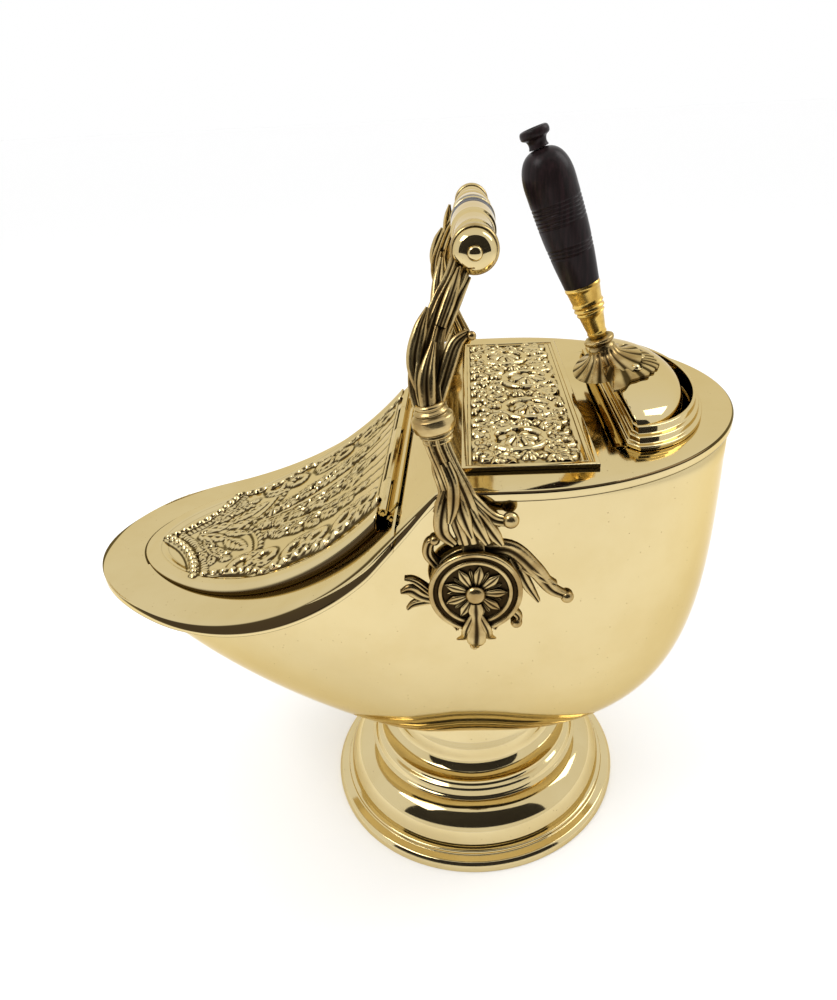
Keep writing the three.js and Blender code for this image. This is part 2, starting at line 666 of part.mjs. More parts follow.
// Fasteners through the fan and the heel.
function fanRivets(fastener) {
  const seat = FAN_THICKNESS + 2 * SEAT_GAP;
  return FAN_RIVETS.map(([behind, aside]) => {
    const place = [SHOVEL_FRONT_X + behind, aside, heelZ(behind, aside) + seat];
    return fastener.clone().translate(...place);
  });
}

// Places a piece turned about the handle's axis; its z = 0 is at the collar's foot.
function onHandleAxis(geometry) {
  const footZ = DECK_Z + HEEL_HEIGHT + NECK_HEIGHT;
  return geometry.rotateY(-HANDLE_LEAN * RAD).translate(HANDLE_FOOT_X, 0, footZ);
}

// Cast socket: a fan over the top of the heel, a flaring neck and the collar for the handle.
function shovelSocket() {
  const onHeel = ([behind, aside]) => point(SHOVEL_FRONT_X + behind, aside);
  const fan = [...FAN_OUTLINE.map(onHeel), ...FAN_OUTLINE.map(([b, a]) => [b, -a]).reverse().map(onHeel)];
  const skinFloor = DECK_Z - 5;
  const skin = cut(shovelForm(SEAT_GAP + FAN_THICKNESS, skinFloor), shovelForm(SEAT_GAP, skinFloor - 1));
  const plate = common(skin, prism(fan, 0, TALL));
  const profile = [
    point(0, -NECK_HEIGHT - FAN_THICKNESS),
    point(COLLAR_RADIUS * 1.9, -NECK_HEIGHT - FAN_THICKNESS),
    point(COLLAR_RADIUS * 1.4, -NECK_HEIGHT * 0.75),
    point(COLLAR_RADIUS, -NECK_HEIGHT * 0.35),
    point(COLLAR_RADIUS * 0.85, 0),
    point(COLLAR_RADIUS * 0.72, COLLAR_HEIGHT * 0.4),
    point(COLLAR_RADIUS, COLLAR_HEIGHT * 0.6),
    point(COLLAR_RADIUS, COLLAR_HEIGHT * 0.85),
    point(COLLAR_RADIUS * 0.8, COLLAR_HEIGHT),
    point(0, COLLAR_HEIGHT),
  ];
  const neck = cut(onHandleAxis(turned(profile, 14)), shovelForm(SEAT_GAP, skinFloor - 1));
  const front = common(openFront(), prism(rectangle(0, RIM_HALF_WIDTH, HEEL_HALF_WIDTH), 0, collarFootZ));
  const boreProfile = rodProfile(TANG_RADIUS + SEAT_GAP, tangFoot - SEAT_GAP, 2 * COLLAR_HEIGHT);
  const bore = onHandleAxis(turned(boreProfile, 10));
  return cut(join(plate, neck), front, bore, ...fanRivets(rivetHole(FAN_THICKNESS + 1)));
}

const collarFootZ = DECK_Z + HEEL_HEIGHT + NECK_HEIGHT - COLLAR_RADIUS * Math.sin(HANDLE_LEAN * RAD);
const tangFoot = 1.5;

const ferruleStart = COLLAR_HEIGHT + SEAT_GAP;
const handleStart = ferruleStart + FERRULE_LENGTH + SEAT_GAP;
const finialStart = handleStart + HANDLE_LENGTH + SEAT_GAP;

function shovelFerrule() {
  const middle = ferruleStart + FERRULE_LENGTH * 0.55;
  const along = (z) => FERRULE_FOOT_RADIUS + (FERRULE_TOP_RADIUS - FERRULE_FOOT_RADIUS)
    * ((z - ferruleStart) / FERRULE_LENGTH) ** 0.9;
  const bore = TANG_RADIUS + SEAT_GAP;
  const end = ferruleStart + FERRULE_LENGTH;
  const profile = [
    point(bore, ferruleStart),
    point(along(ferruleStart), ferruleStart),
    point(along(middle - 4), middle - 4),
    point(along(middle - 3) + 0.9, middle - 3),
    point(along(middle + 3) + 0.9, middle + 3),
    point(along(middle + 4), middle + 4),
    point(along(end), end),
    point(bore, end),
    point(bore, ferruleStart),
  ];
  return onHandleAxis(turned(profile, 16));
}

function shovelTang() {
  return onHandleAxis(turned(rodProfile(TANG_RADIUS, tangFoot, handleStart + HANDLE_BORE_DEPTH - SEAT_GAP), 10));
}

function shovelHandle() {
  const end = handleStart + HANDLE_LENGTH;
  const bore = TANG_RADIUS + SEAT_GAP;
  const waist = new THREE.CatmullRomCurve3([
    new THREE.Vector3(FERRULE_TOP_RADIUS, handleStart, 0),
    new THREE.Vector3(HANDLE_RADIUS * 0.87, handleStart + HANDLE_LENGTH * 0.25, 0),
    new THREE.Vector3(HANDLE_RADIUS * 0.97, handleStart + HANDLE_LENGTH * 0.5, 0),
    new THREE.Vector3(HANDLE_RADIUS, end - HANDLE_DOME_HEIGHT, 0),
  ]);
  const side = waist.getPoints(5).map(({ x, y }) => point(x, y));
  const dome = arc(0, end - HANDLE_DOME_HEIGHT, HANDLE_RADIUS, HANDLE_DOME_HEIGHT, 0, 66, 4).slice(1);
  const profile = [
    point(0, handleStart + HANDLE_BORE_DEPTH),
    point(bore, handleStart + HANDLE_BORE_DEPTH),
    point(bore, handleStart),
    ...side,
    ...dome,
    point(FINIAL_NECK_RADIUS, end),
    point(0, end),
  ];
  return onHandleAxis(turned(profile, 16));
}

function shovelFinial() {
  const end = finialStart + FINIAL_LENGTH;
  const profile = [
    point(0, finialStart),
    point(FINIAL_NECK_RADIUS, finialStart),
    point(FINIAL_NECK_RADIUS * 0.94, finialStart + FINIAL_LENGTH * 0.4),
    point(FINIAL_NECK_RADIUS * 1.1, end - 7),
    point(FINIAL_CAP_RADIUS, end - 5.6),
    point(FINIAL_CAP_RADIUS, end - 1),
    point(FINIAL_CAP_RADIUS * 0.88, end),
    point(FINIAL_CAP_RADIUS * 0.5, end - 2.2),
    point(0, end - 2.6),
  ];
  return onHandleAxis(turned(profile, 14));
}

// ---------------------------------------------------------------- pivots of the bail, near side

const eyeInnerY = PLATE_FACE_Y + SEAT_GAP;
const eyeOuterY = eyeInnerY + EYE_THICKNESS;
const roundelInnerY = eyeOuterY + SEAT_GAP;
const roundelOuterY = roundelInnerY + ROUNDEL_THICKNESS;

// A station of an ornament that lies on the body: x and z from the pivot.
function onSide(x, z, width, thickness = 3.2) {
  const roundedOff = Math.max(0, PIVOT_X + x - REAR_CENTRE_X) ** 2 / (2 * RIM_HALF_WIDTH);
  return [PIVOT_X + x, -(bodySideY(PIVOT_Z + z) + 0.6 - roundedOff), PIVOT_Z + z, width, thickness];
}

function ballOnSide(x, z, radius) {
  const [px, py, pz] = onSide(x, z, radius);
  return new THREE.SphereGeometry(radius, 8, 5).translate(px, py - radius * 0.3, pz);
}

// Cast plate on the body: a disc with a scrolled wing behind, a leaf in front and a drop below.
function escutcheon() {
  const discProfile = rodProfile(ROUNDEL_RADIUS - 1, -PLATE_FACE_Y, -PLATE_FACE_Y + 12);
  const disc = turnedAlongY(discProfile, 20, PIVOT_X, PIVOT_Z);
  const wing = horn([
    onSide(2, 24, 4), onSide(20, 23, 5.5), onSide(34, 9, 5), onSide(44, -6, 4), onSide(52, -12, 3),
  ]);
  const wingLeaf = horn([onSide(21, 18, 4), onSide(30, -2, 3.4), onSide(37, -15, 1.2)]);
  const tail = horn([onSide(16, -16, 3), onSide(25, -26, 2.4), onSide(24, -31, 2)]);
  const leaf = horn([onSide(-18, -13, 3), onSide(-31, -9, 4), onSide(-38, -4, 4.4), onSide(-44, -5, 1)]);
  const curl = horn([onSide(-20, 12, 3), onSide(-26, 21, 3.4), onSide(-25, 29, 3), onSide(-21, 31, 2)]);
  const drop = horn([onSide(-1, -22, 8), onSide(-1, -33, 8.5), onSide(-1, -43, 5), onSide(-2, -51, 2)]);
  const dropSides = [-1, 1].map((side) => horn([
    onSide(side * 5 - 1, -22, 3), onSide(side * 10 - 1, -33, 3), onSide(side * 12 - 1, -40, 1),
  ]));
  const balls = [
    ballOnSide(54, -13.5, 4), ballOnSide(24, -31.5, 3.6), ballOnSide(-2, -51, 3), ballOnSide(-22, 31, 3.4),
  ];
  const whole = join(disc, wing, wingLeaf, tail, leaf, curl, drop, ...dropSides, ...balls);
  const bore = rodProfile(STUD_RADIUS + SEAT_GAP, -2 * PLATE_FACE_Y, 0);
  const armSweep = rodProfile(ROUNDEL_RADIUS + 13, -2 * PLATE_FACE_Y, -PLATE_FACE_Y);
  const cutters = [bore, armSweep].map((profile) => turnedAlongY(profile, 12, PIVOT_X, PIVOT_Z));
  return cut(whole, bodyBlock(), ...cutters);
}

// Round front of the pivot: stepped rings around a flower.
function roundel() {
  const [back, front] = [-roundelInnerY, -roundelOuterY];
  const bore = STUD_RADIUS + SEAT_GAP;
  const groove = front + 1.6;
  const profile = [
    point(bore, back),
    point(ROUNDEL_RADIUS, back),
    point(ROUNDEL_RADIUS, front + 0.8),
    point(ROUNDEL_RADIUS - 0.8, front),
    point(ROUNDEL_RADIUS - 2, front),
    point(ROUNDEL_RADIUS - 2.8, groove),
    point(ROUNDEL_RADIUS - 5, groove),
    point(ROUNDEL_RADIUS - 5.4, front - 0.6),
    point(ROUNDEL_RADIUS - 7.4, front - 0.6),
    point(ROUNDEL_RADIUS - 7.8, groove),
    point(bore, groove),
    point(bore, back),
  ];
  const disc = turnedAlongY(profile, 20, PIVOT_X, PIVOT_Z);
  const petals = [];
  const inner = STUD_RADIUS + 1.5;
  const outer = ROUNDEL_RADIUS - 8.4;
  for (let i = 0; i < PETAL_COUNT; i += 1) {
    const petal = new THREE.SphereGeometry(1, 4, 3).scale((outer - inner) / 2, PETAL_RELIEF, 2.6);
    petal.translate((outer + inner) / 2, groove, 0).rotateY(2 * Math.PI * i / PETAL_COUNT);
    petals.push(petal.translate(PIVOT_X, 0, PIVOT_Z));
  }
  return join(disc, ...petals);
}

// Stud through the body, the plate, the arm's eye and the roundel, with its round head outside.
function pivotStud() {
  const headY = -roundelOuterY - SEAT_GAP;
  const inner = -bodySideY(PIVOT_Z - NUT_RADIUS) + SHEET + 2 * SEAT_GAP + NUT_THICKNESS + 3;
  const profile = [
    point(0, headY - 3.6),
    point(3, headY - 3),
    point(STUD_RADIUS + 1.6, headY - 1),
    point(STUD_RADIUS + 1.6, headY),
    point(STUD_RADIUS, headY),
    point(STUD_RADIUS, inner),
    point(0, inner),
  ];
  return turnedAlongY(profile, 12, PIVOT_X, PIVOT_Z);
}

function pivotNut() {
  const outer = -bodySideY(PIVOT_Z - NUT_RADIUS) + SHEET + 2 * SEAT_GAP;
  const upright = nut(STUD_RADIUS + SEAT_GAP, NUT_RADIUS, -outer - NUT_THICKNESS, -outer);
  return upright.rotateX(Math.PI / 2).translate(PIVOT_X, 0, PIVOT_Z);
}

// A station of the arm: its share of the height from the pivot to the grip, its place in front of
// or behind the line between them, and how far it stands outside the arm's middle.
function onArm(share, behind, outside, width, thickness = width) {
  const bend = (Math.max(share - ARM_BEND_START, 0) / (1 - ARM_BEND_START)) ** ARM_BEND_POWER;
  const gripY = (GRIP_EYE_INNER_Y + GRIP_EYE_OUTER_Y) / 2;
  const middleY = ARM_Y + (gripY - ARM_Y) * bend;
  const x = PIVOT_X + (GRIP_X - PIVOT_X) * share + behind;
  return [x, -middleY - outside, PIVOT_Z + (GRIP_Z - PIVOT_Z) * share, width, thickness];
}

// Cast arm, near side: eye, splayed leaves, knop, leafy upper arm and the ring for the grip.
function bailArm() {
  const midY = -(eyeInnerY + eyeOuterY) / 2;
  const thin = EYE_THICKNESS / 2 - 0.2;
  const eye = turnedAlongY(rodProfile(EYE_RADIUS, -eyeOuterY, -eyeInnerY), 16, PIVOT_X, PIVOT_Z);
  const neck = horn([
    [PIVOT_X, midY, PIVOT_Z + EYE_RADIUS * 0.4, 8, thin],
    [PIVOT_X, midY, PIVOT_Z + ROUNDEL_RADIUS - 8, 6.5, thin],
    [PIVOT_X - 0.5, midY, PIVOT_Z + ROUNDEL_RADIUS + 1.5, 6.5, thin],
    onArm(0.21, -3, -0.4, 8, 4),
  ]);
  const shaft = horn([
    onArm(0.19, -2, 0, 8, 4), onArm(0.27, -5, 0, 9.5, 5), onArm(0.35, -9, 0, 8, 4.6),
    onArm(0.43, -14.4, 0, 6.8, 5), onArm(0.51, -20, 0, 6.5, 6), onArm(0.57, -21.7, 0, 7.5, 7),
    onArm(0.66, -25, 0, 10, 7), onArm(0.73, -25, 0, 9, 6.5), onArm(0.8, -22, 0, 6.6, 5),
    onArm(0.87, -17, 0, 6, 4.6), onArm(0.93, -10.6, 0, 6, 4.6), onArm(0.985, -6, 0, 6, 4),
  ], 7, 12);
  const knop = turned([
    point(0, -8), point(7.5, -8), point(8.5, -5.5), point(11.5, -2.5), point(11.5, 2.5),
    point(8.5, 5.5), point(8, 8), point(0, 8),
  ], 12).rotateX(-10 * RAD).translate(...onArm(0.57, -21.7, 0, 0).slice(0, 3));
  const leaves = [
    horn([
      onArm(0.385, -13.6, -1, 3), onArm(0.3, -18, 2, 3.4),
      onArm(0.235, -18, 3, 3.2), onArm(0.19, -11.6, 3, 1.6),
    ]),
    horn([onArm(0.35, -9.4, 2, 3), onArm(0.28, -6, 4, 3), onArm(0.23, -1, 4, 1.4)]),
    horn([onArm(0.32, -6.3, 0, 3), onArm(0.25, 1, 3, 3.2), onArm(0.19, 6.5, 3, 2)]),
    horn([
      onArm(0.34, -6.4, -1, 3), onArm(0.275, 3, 1, 3.2),
      onArm(0.215, 10, 1, 3), onArm(0.176, 14.5, 1, 1.4),
    ]),
    horn([onArm(0.375, -8.6, -2, 3), onArm(0.32, 0, 0, 3), onArm(0.27, 9, 0, 3.2), onArm(0.255, 17, 0, 3)]),
    horn([
      onArm(0.64, -25, 1, 3), onArm(0.73, -29.5, 4, 3.4),
      onArm(0.815, -27, 8, 3), onArm(0.875, -24, 10, 0.8),
    ]),
    horn([
      onArm(0.64, -19, 2, 3), onArm(0.715, -14.4, 4, 3),
      onArm(0.78, -9.8, 6, 3), onArm(0.81, -3, 8, 1.2),
    ]),
    horn([onArm(0.62, -25, 6, 3.4), onArm(0.705, -26.4, 9, 3.4), onArm(0.78, -25, 9, 1.2)]),
    horn([onArm(0.85, -21, 0, 3), onArm(0.925, -19.6, 2, 2.4), onArm(0.985, -17, 4, 0.8)]),
  ];
  const curl = new THREE.SphereGeometry(5, 8, 5).translate(...onArm(0.26, 19, 0, 0).slice(0, 3));
  const ringProfile = rodProfile(GRIP_EYE_RADIUS, -GRIP_EYE_OUTER_Y, -GRIP_EYE_INNER_Y);
  const ring = turnedAlongY(ringProfile, 14, GRIP_X, GRIP_Z);
  const whole = join(eye, neck, shaft, knop, ...leaves, curl, ring);
  const far = 2 * PLATE_FACE_Y;
  const clearOf = (radius, from, to, x, z) => turnedAlongY(rodProfile(radius, from, to), 12, x, z);
  return cut(
    whole,
    clearOf(STUD_RADIUS + SEAT_GAP, -far, 0, PIVOT_X, PIVOT_Z),
    clearOf(ROD_RADIUS + SEAT_GAP, -far, 0, GRIP_X, GRIP_Z),
    clearOf(GRIP_RADIUS + 2, -GRIP_EYE_INNER_Y, 0, GRIP_X, GRIP_Z),
    clearOf(CAP_RADIUS + 1, -far, -GRIP_EYE_OUTER_Y, GRIP_X, GRIP_Z),
    clearOf(ROUNDEL_RADIUS + 1, -far, -eyeOuterY, PIVOT_X, PIVOT_Z),
    common(crestSlab(-4 * SKIRT_DEPTH, 2 * SEAT_GAP), prism(planOutline(-1, -1), 0, TALL)),
  );
}

// ---------------------------------------------------------------- grip

const rodEndY = GRIP_EYE_OUTER_Y + SEAT_GAP;
const screwDepth = 9;

function gripRod() {
  const bore = SCREW_RADIUS + SEAT_GAP;
  const hollow = rodEndY - screwDepth - SEAT_GAP;
  const half = [point(ROD_RADIUS, rodEndY), point(bore, rodEndY), point(bore, hollow), point(0, hollow)];
  const other = half.slice().reverse().map(({ x, y }) => point(x, -y));
  return turnedAlongY([...other, ...half], 12, GRIP_X, GRIP_Z);
}

function gripBand() {
  const ring = tubeProfile(ROD_RADIUS + SEAT_GAP, GRIP_RADIUS + 0.4, -BAND_HALF_WIDTH, BAND_HALF_WIDTH);
  return turnedAlongY(ring, 14, GRIP_X, GRIP_Z);
}

// Ebonised collar beside the middle band, near side.
function gripCollar() {
  const bore = ROD_RADIUS + SEAT_GAP;
  const start = -BAND_HALF_WIDTH - SEAT_GAP;
  const profile = [
    point(bore, start), point(GRIP_RADIUS, start), point(GRIP_RADIUS - 0.5, -COLLAR_END_Y),
    point(bore, -COLLAR_END_Y), point(bore, start),
  ];
  return turnedAlongY(profile, 14, GRIP_X, GRIP_Z);
}

// Turned brass sleeve from the collar to the arm, near side.
function gripSleeve() {
  const bore = ROD_RADIUS + SEAT_GAP;
  const start = COLLAR_END_Y + SEAT_GAP;
  const end = GRIP_EYE_INNER_Y - SEAT_GAP;
  const profile = [
    [bore, start], [GRIP_RADIUS - 0.3, start], [GRIP_RADIUS - 1.2, start + 26],
    [GRIP_RADIUS - 0.6, start + 30], [GRIP_RADIUS - 2.4, start + 40], [GRIP_RADIUS - 3.2, end - 22],
    [GRIP_RADIUS - 2.4, end - 14], [GRIP_RADIUS - 4.2, end - 9], [GRIP_RADIUS - 3, end - 6],
    [GRIP_RADIUS - 3, end], [bore, end], [bore, start],
  ].map(([radius, y]) => point(radius, -y));
  return turnedAlongY(profile, 14, GRIP_X, GRIP_Z);
}

function gripCap() {
  const bore = SCREW_RADIUS + SEAT_GAP;
  const start = rodEndY + SEAT_GAP;
  const profile = [
    [bore, start], [CAP_RADIUS - 0.8, start], [CAP_RADIUS, start + 1.5], [CAP_RADIUS * 0.97, start + 3.6],
    [CAP_RADIUS * 0.84, start + 6], [CAP_RADIUS * 0.6, start + 7.7], [SCREW_HEAD_RADIUS, start + CAP_LENGTH],
    [bore, start + CAP_LENGTH], [bore, start],
  ].map(([radius, y]) => point(radius, -y));
  return turnedAlongY(profile, 14, GRIP_X, GRIP_Z);
}

function gripScrew() {
  const head = rodEndY + SEAT_GAP + CAP_LENGTH + SEAT_GAP;
  const profile = [
    [0, head + 1.8], [SCREW_HEAD_RADIUS * 0.6, head + 1.4], [SCREW_HEAD_RADIUS, head],
    [SCREW_RADIUS, head], [SCREW_RADIUS, rodEndY - screwDepth], [0, rodEndY - screwDepth],
  ].map(([radius, y]) => point(radius, -y));
  return turnedAlongY(profile, 10, GRIP_X, GRIP_Z);
}

// ---------------------------------------------------------------- foot

const footTopZ = BODY_BOTTOM_Z - SEAT_GAP;

// Spun foot: an ogee base, a bead, a hollow neck and the disc that the body is bolted to.
function foot() {
  const bore = BOLT_RADIUS + SEAT_GAP;
  const [coveStart, coveEnd] = FOOT_COVE_ARC;
  const cove = (growth, steps) => arc(
    FOOT_RADIUS - FOOT_COVE_INSET,
    FOOT_COVE_Z,
    FOOT_COVE_RADIUS_X + growth,
    FOOT_COVE_RADIUS_Z + growth,
    coveStart,
    coveEnd,
    steps,
  );
  const outer = [
    point(FOOT_RADIUS, 0),
    point(FOOT_RADIUS, 5),
    point(FOOT_RADIUS - 2.5, 8.5),
    point(FOOT_RADIUS - 9, 9.2),
    point(FOOT_RADIUS - 9.4, 12.4),
    point(FOOT_RADIUS - 12, 12.8),
    ...arc(FOOT_RADIUS - 37, 13, 24.5, 29, 0, 84, 5),
    point(FOOT_RADIUS - 38.2, 45),
    point(FOOT_RADIUS - 43, 51.4),
    ...cove(0, 3),
    point(FOOT_TOP_RADIUS + 3, FOOT_NECK_Z),
    point(FOOT_TOP_RADIUS, footTopZ),
    point(bore, footTopZ),
  ];
  const inner = [
    point(bore, footTopZ - FOOT_WALL),
    point(FOOT_TOP_RADIUS - 2, footTopZ - FOOT_WALL),
    ...cove(2, 2).reverse(),
    point(FOOT_RADIUS - 41, 43),
    ...arc(FOOT_RADIUS - 37, 13, 22.4, 27, 84, 4, 3),
    point(FOOT_RADIUS - FOOT_HEM, 6),
    point(FOOT_RADIUS - FOOT_HEM, 0),
    point(FOOT_RADIUS, 0),
  ];
  return turned([...outer, ...inner], 28);
}

const washerZ = BODY_BOTTOM_Z + SHEET + SEAT_GAP;
const washerThickness = 1.5;
const footNutTopZ = footTopZ - FOOT_WALL - SEAT_GAP;
const footNutThickness = 6;

function footBolt() {
  const headZ = washerZ + washerThickness + SEAT_GAP;
  const profile = [
    point(0, footNutTopZ - footNutThickness - 3),
    point(BOLT_RADIUS, footNutTopZ - footNutThickness - 3),
    point(BOLT_RADIUS, headZ),
    ...arc(0, headZ, 8, 4.5, 0, 90, 3),
  ];
  return turned(profile, 12);
}

const footWasher = () => turned(tubeProfile(BOLT_RADIUS + SEAT_GAP, 14, washerZ, washerZ + washerThickness), 14);

const footNut = () => nut(BOLT_RADIUS + SEAT_GAP, 8, footNutTopZ - footNutThickness, footNutTopZ);

// ---------------------------------------------------------------- assembly

const BRASS = { color: 0xc9b380, roughness: 0.16, metalness: 1 };
const GILT = { color: 0xc79a3c, roughness: 0.22, metalness: 1 };
const CAST = { color: 0x8f7a4a, roughness: 0.4, metalness: 1 };
const STEEL = { color: 0x6f6f6c, roughness: 0.45, metalness: 1 };
const EBONY = { color: 0x151316, roughness: 0.35, metalness: 0 };

const assembly = new THREE.Group();

function place(name, geometry, look, group = assembly) {
  const whole = toGeometry(toSolid(geometry));
  const mesh = new THREE.Mesh(whole, new THREE.MeshStandardMaterial(look));
  mesh.name = name;
  group.add(mesh);
}

function placePair(name, geometry, look, group = assembly) {
  place(`${name}_near`, geometry, look, group);
  place(`${name}_far`, mirrored(geometry), look, group);
}

place('foot', foot(), BRASS);
place('foot_bolt', footBolt(), STEEL);
place('foot_washer', footWasher(), STEEL);
place('foot_nut', footNut(), STEEL);
place('body_shell', bodyShell(), BRASS);
place('mouth_rim', mouthRim(), BRASS);
place('deck_plate', deckPlate(), BRASS);
place('panel_frame', panelFrame(), BRASS);
place('deck_panel', deckPanel(), BRASS);
place('slot_moulding', slotMoulding(), BRASS);
place('shovel_pocket', shovelPocket(), BRASS);
placePair('escutcheon', escutcheon(), CAST);
placePair('roundel', roundel(), CAST);
placePair('pivot_stud', pivotStud(), CAST);
placePair('pivot_nut', pivotNut(), STEEL);
place('deck_hinge_leaf', deckHingeLeaf(), BRASS);
place('hinge_pin', hingePin(), BRASS);

const lid = new THREE.Group();
place('lid_panel', lidPanel(), BRASS, lid);
place('lid_hinge_leaf', lidHingeLeaf(), BRASS, lid);
assembly.add(lid);

const bail = new THREE.Group();
placePair('bail_arm', bailArm(), CAST, bail);
place('grip_rod', gripRod(), STEEL, bail);
place('grip_band', gripBand(), BRASS, bail);
placePair('grip_collar', gripCollar(), EBONY, bail);
placePair('grip_sleeve', gripSleeve(), BRASS, bail);
placePair('grip_cap', gripCap(), BRASS, bail);
placePair('grip_screw', gripScrew(), BRASS, bail);
assembly.add(bail);

const shovel = new THREE.Group();
place('shovel_blade', shovelBlade(), BRASS, shovel);
place('shovel_socket', shovelSocket(), CAST, shovel);
fanRivets(rivet(FAN_THICKNESS + SHEET + 3 * SEAT_GAP)).forEach((piece, i) => {
  place(`shovel_rivet_${i + 1}`, piece, BRASS, shovel);
});
place('shovel_ferrule', shovelFerrule(), GILT, shovel);
place('shovel_tang', shovelTang(), STEEL, shovel);
place('shovel_handle', shovelHandle(), EBONY, shovel);
place('shovel_finial', shovelFinial(), EBONY, shovel);
assembly.add(shovel);

const rearX = REAR_CENTRE_X + RIM_HALF_WIDTH;
const tipX = TAPER_ROOT_X - LIP_LENGTH;
assembly.position.x = -(rearX + tipX) / 2;

export default assembly;
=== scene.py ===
# Helmet coal scuttle of polished brass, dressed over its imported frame. Shapes are worked out in
# millimetres with x = 0 on the foot's axis and z = 0 on the floor, then moved into the frame.

import math

import bmesh
import bpy
import numpy as np
from mathutils import Matrix, Vector


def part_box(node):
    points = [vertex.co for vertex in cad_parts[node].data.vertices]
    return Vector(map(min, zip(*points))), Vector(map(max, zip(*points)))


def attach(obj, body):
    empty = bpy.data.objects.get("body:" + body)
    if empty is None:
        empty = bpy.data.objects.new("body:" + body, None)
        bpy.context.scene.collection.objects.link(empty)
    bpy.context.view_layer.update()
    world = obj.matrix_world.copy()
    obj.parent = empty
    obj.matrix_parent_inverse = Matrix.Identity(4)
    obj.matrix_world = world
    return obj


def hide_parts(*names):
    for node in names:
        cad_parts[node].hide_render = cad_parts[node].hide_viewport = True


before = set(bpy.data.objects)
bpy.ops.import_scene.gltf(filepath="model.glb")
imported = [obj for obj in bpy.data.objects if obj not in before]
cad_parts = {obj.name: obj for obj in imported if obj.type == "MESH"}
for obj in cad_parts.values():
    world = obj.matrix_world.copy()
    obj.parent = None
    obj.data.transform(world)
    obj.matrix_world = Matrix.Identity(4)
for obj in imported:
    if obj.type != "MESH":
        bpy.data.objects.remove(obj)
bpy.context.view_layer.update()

bl_info = {
    "name": "Coal Scuttle",
    "version": (1, 0, 0),
    "blender": (4, 5, 0),
    "location": "View3D > Sidebar > Scuttle",
    "description": "Builds a brass helmet coal scuttle over its frame",
    "category": "Add Mesh",
}

FOOT_LOW, FOOT_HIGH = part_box("foot")
SHIFT = 500 * (FOOT_LOW.x + FOOT_HIGH.x)      # the foot's axis in the frame, in mm

# ------------------------------------------------------------------ sizes shared with the solids

SHEET = 1.2
BORE = 4.3             # radius of the holes for the foot's bolt, the studs and the grip's rod
HALF_WIDTH = 152
REAR_X = 36
ROOT_X = -50
LIP_LENGTH = 234.5
LIP_Z = 242
SADDLE_X = -215
SADDLE_RADIUS = 228
DECK_Z = 352.5
SEAM_X = -38
SEAM_GAP = 0.3
DECK_BENDS = [-34, -30, -26, -22, -18, -16, -14.5, -13.5, -12.8, -12.2, -11.6, -11, -10, -8.5, -6, 0, 20]
BODY_Z = 101
BODY_FLAT = 55
BODY_X = -4
BULGE_SIDE = np.array([0.97, 0.98])
BULGE_REAR = np.array([0.61, 0.52])
BULGE_LIP = np.array([1.18, 1.61])
LID_HALF = 117
LID_LENGTH = 202
LID_POWER = 1.25
LID_REAR = -52
LID_RISE = 10.6        # height of the lid above the rim, next to the hinge
PANEL_X = (1.7, 80.8)
PANEL_HALF = 125.5
FRAME_WIDTH = 6.1
SLOT_X = 107.5
SLOT_DEPTH = 52
SLOT_HALF = 92
BLADE_X = 107.9
HEEL_DEPTH = 45.2
HEEL_HALF = 90
HEEL_HEIGHT = 22
BEND_Z = 364.6
LEAN = math.radians(28)
BLADE_TIP_Z = 197.5
SOCKET_Z = DECK_Z + HEEL_HEIGHT + 12
HANDLE_X = 99.5
HANDLE_LEAN = math.radians(19.3)
PIVOT = (7.5, 292)
GRIP = (13, 472.4)
ROUNDEL = 27
PLATE_Y = 151.4
EYE_Y = 156.3
ARM_Y = 158.4

run = ROOT_X - SADDLE_X
RAMP_SLOPE = run / math.sqrt(SADDLE_RADIUS ** 2 - run ** 2)
RAMP_Z = LIP_Z + SADDLE_RADIUS - math.sqrt(SADDLE_RADIUS ** 2 - run ** 2)


def crest(x):
    """Height of the top sheet at x, with a soft bend where the ramp meets the deck."""
    x = np.asarray(x, float)
    along = np.clip(x - SADDLE_X, 0, run)
    saddle = LIP_Z + SADDLE_RADIUS - np.sqrt(SADDLE_RADIUS ** 2 - along ** 2)
    ramp = np.where(x > ROOT_X, RAMP_Z + (x - ROOT_X) * RAMP_SLOPE, saddle)
    return -0.7 * np.logaddexp(-ramp / 0.7, -DECK_Z / 0.7)


def half_turn(steps):
    return np.radians(np.linspace(0, 90, steps + 1))


def plan_outline(side_inset, lip_inset, power=1.2):
    """Plan of the top as a closed loop of points, the same number for every inset."""
    half = HALF_WIDTH - side_inset
    rear = half_turn(44)
    lip = half_turn(90)
    straight = np.linspace(REAR_X, ROOT_X, 31)[1:-1]
    far = np.concatenate([
        np.stack([REAR_X + half * np.cos(rear), half * np.sin(rear)], 1),
        np.stack([straight, np.full(29, half)], 1),
        np.stack([ROOT_X - (LIP_LENGTH - lip_inset) * np.sin(lip) ** power, half * np.cos(lip)], 1),
    ])
    far[-1, 1] = 0
    return np.concatenate([far, far[-2:0:-1] * [1, -1]])


def flange_edge():
    """Where the flat flange ends and its roll to the skirt begins, beside plan_outline's points."""
    rear = half_turn(44)
    lip = half_turn(90)
    straight = np.linspace(REAR_X, ROOT_X, 31)[1:-1]
    inset = np.interp(straight, [ROOT_X, -10], [14.9, 2.4])
    far = np.concatenate([
        np.stack([REAR_X + (HALF_WIDTH - 2.4) * np.cos(rear), (HALF_WIDTH - 2.4) * np.sin(rear)], 1),
        np.stack([straight, HALF_WIDTH - inset], 1),
        np.stack([-52.6 - 225.1 * np.sin(lip) ** 1.18, 137.1 * np.cos(lip) ** 0.76], 1),
    ])
    far[-1, 1] = 0
    return np.concatenate([far, far[-2:0:-1] * [1, -1]])


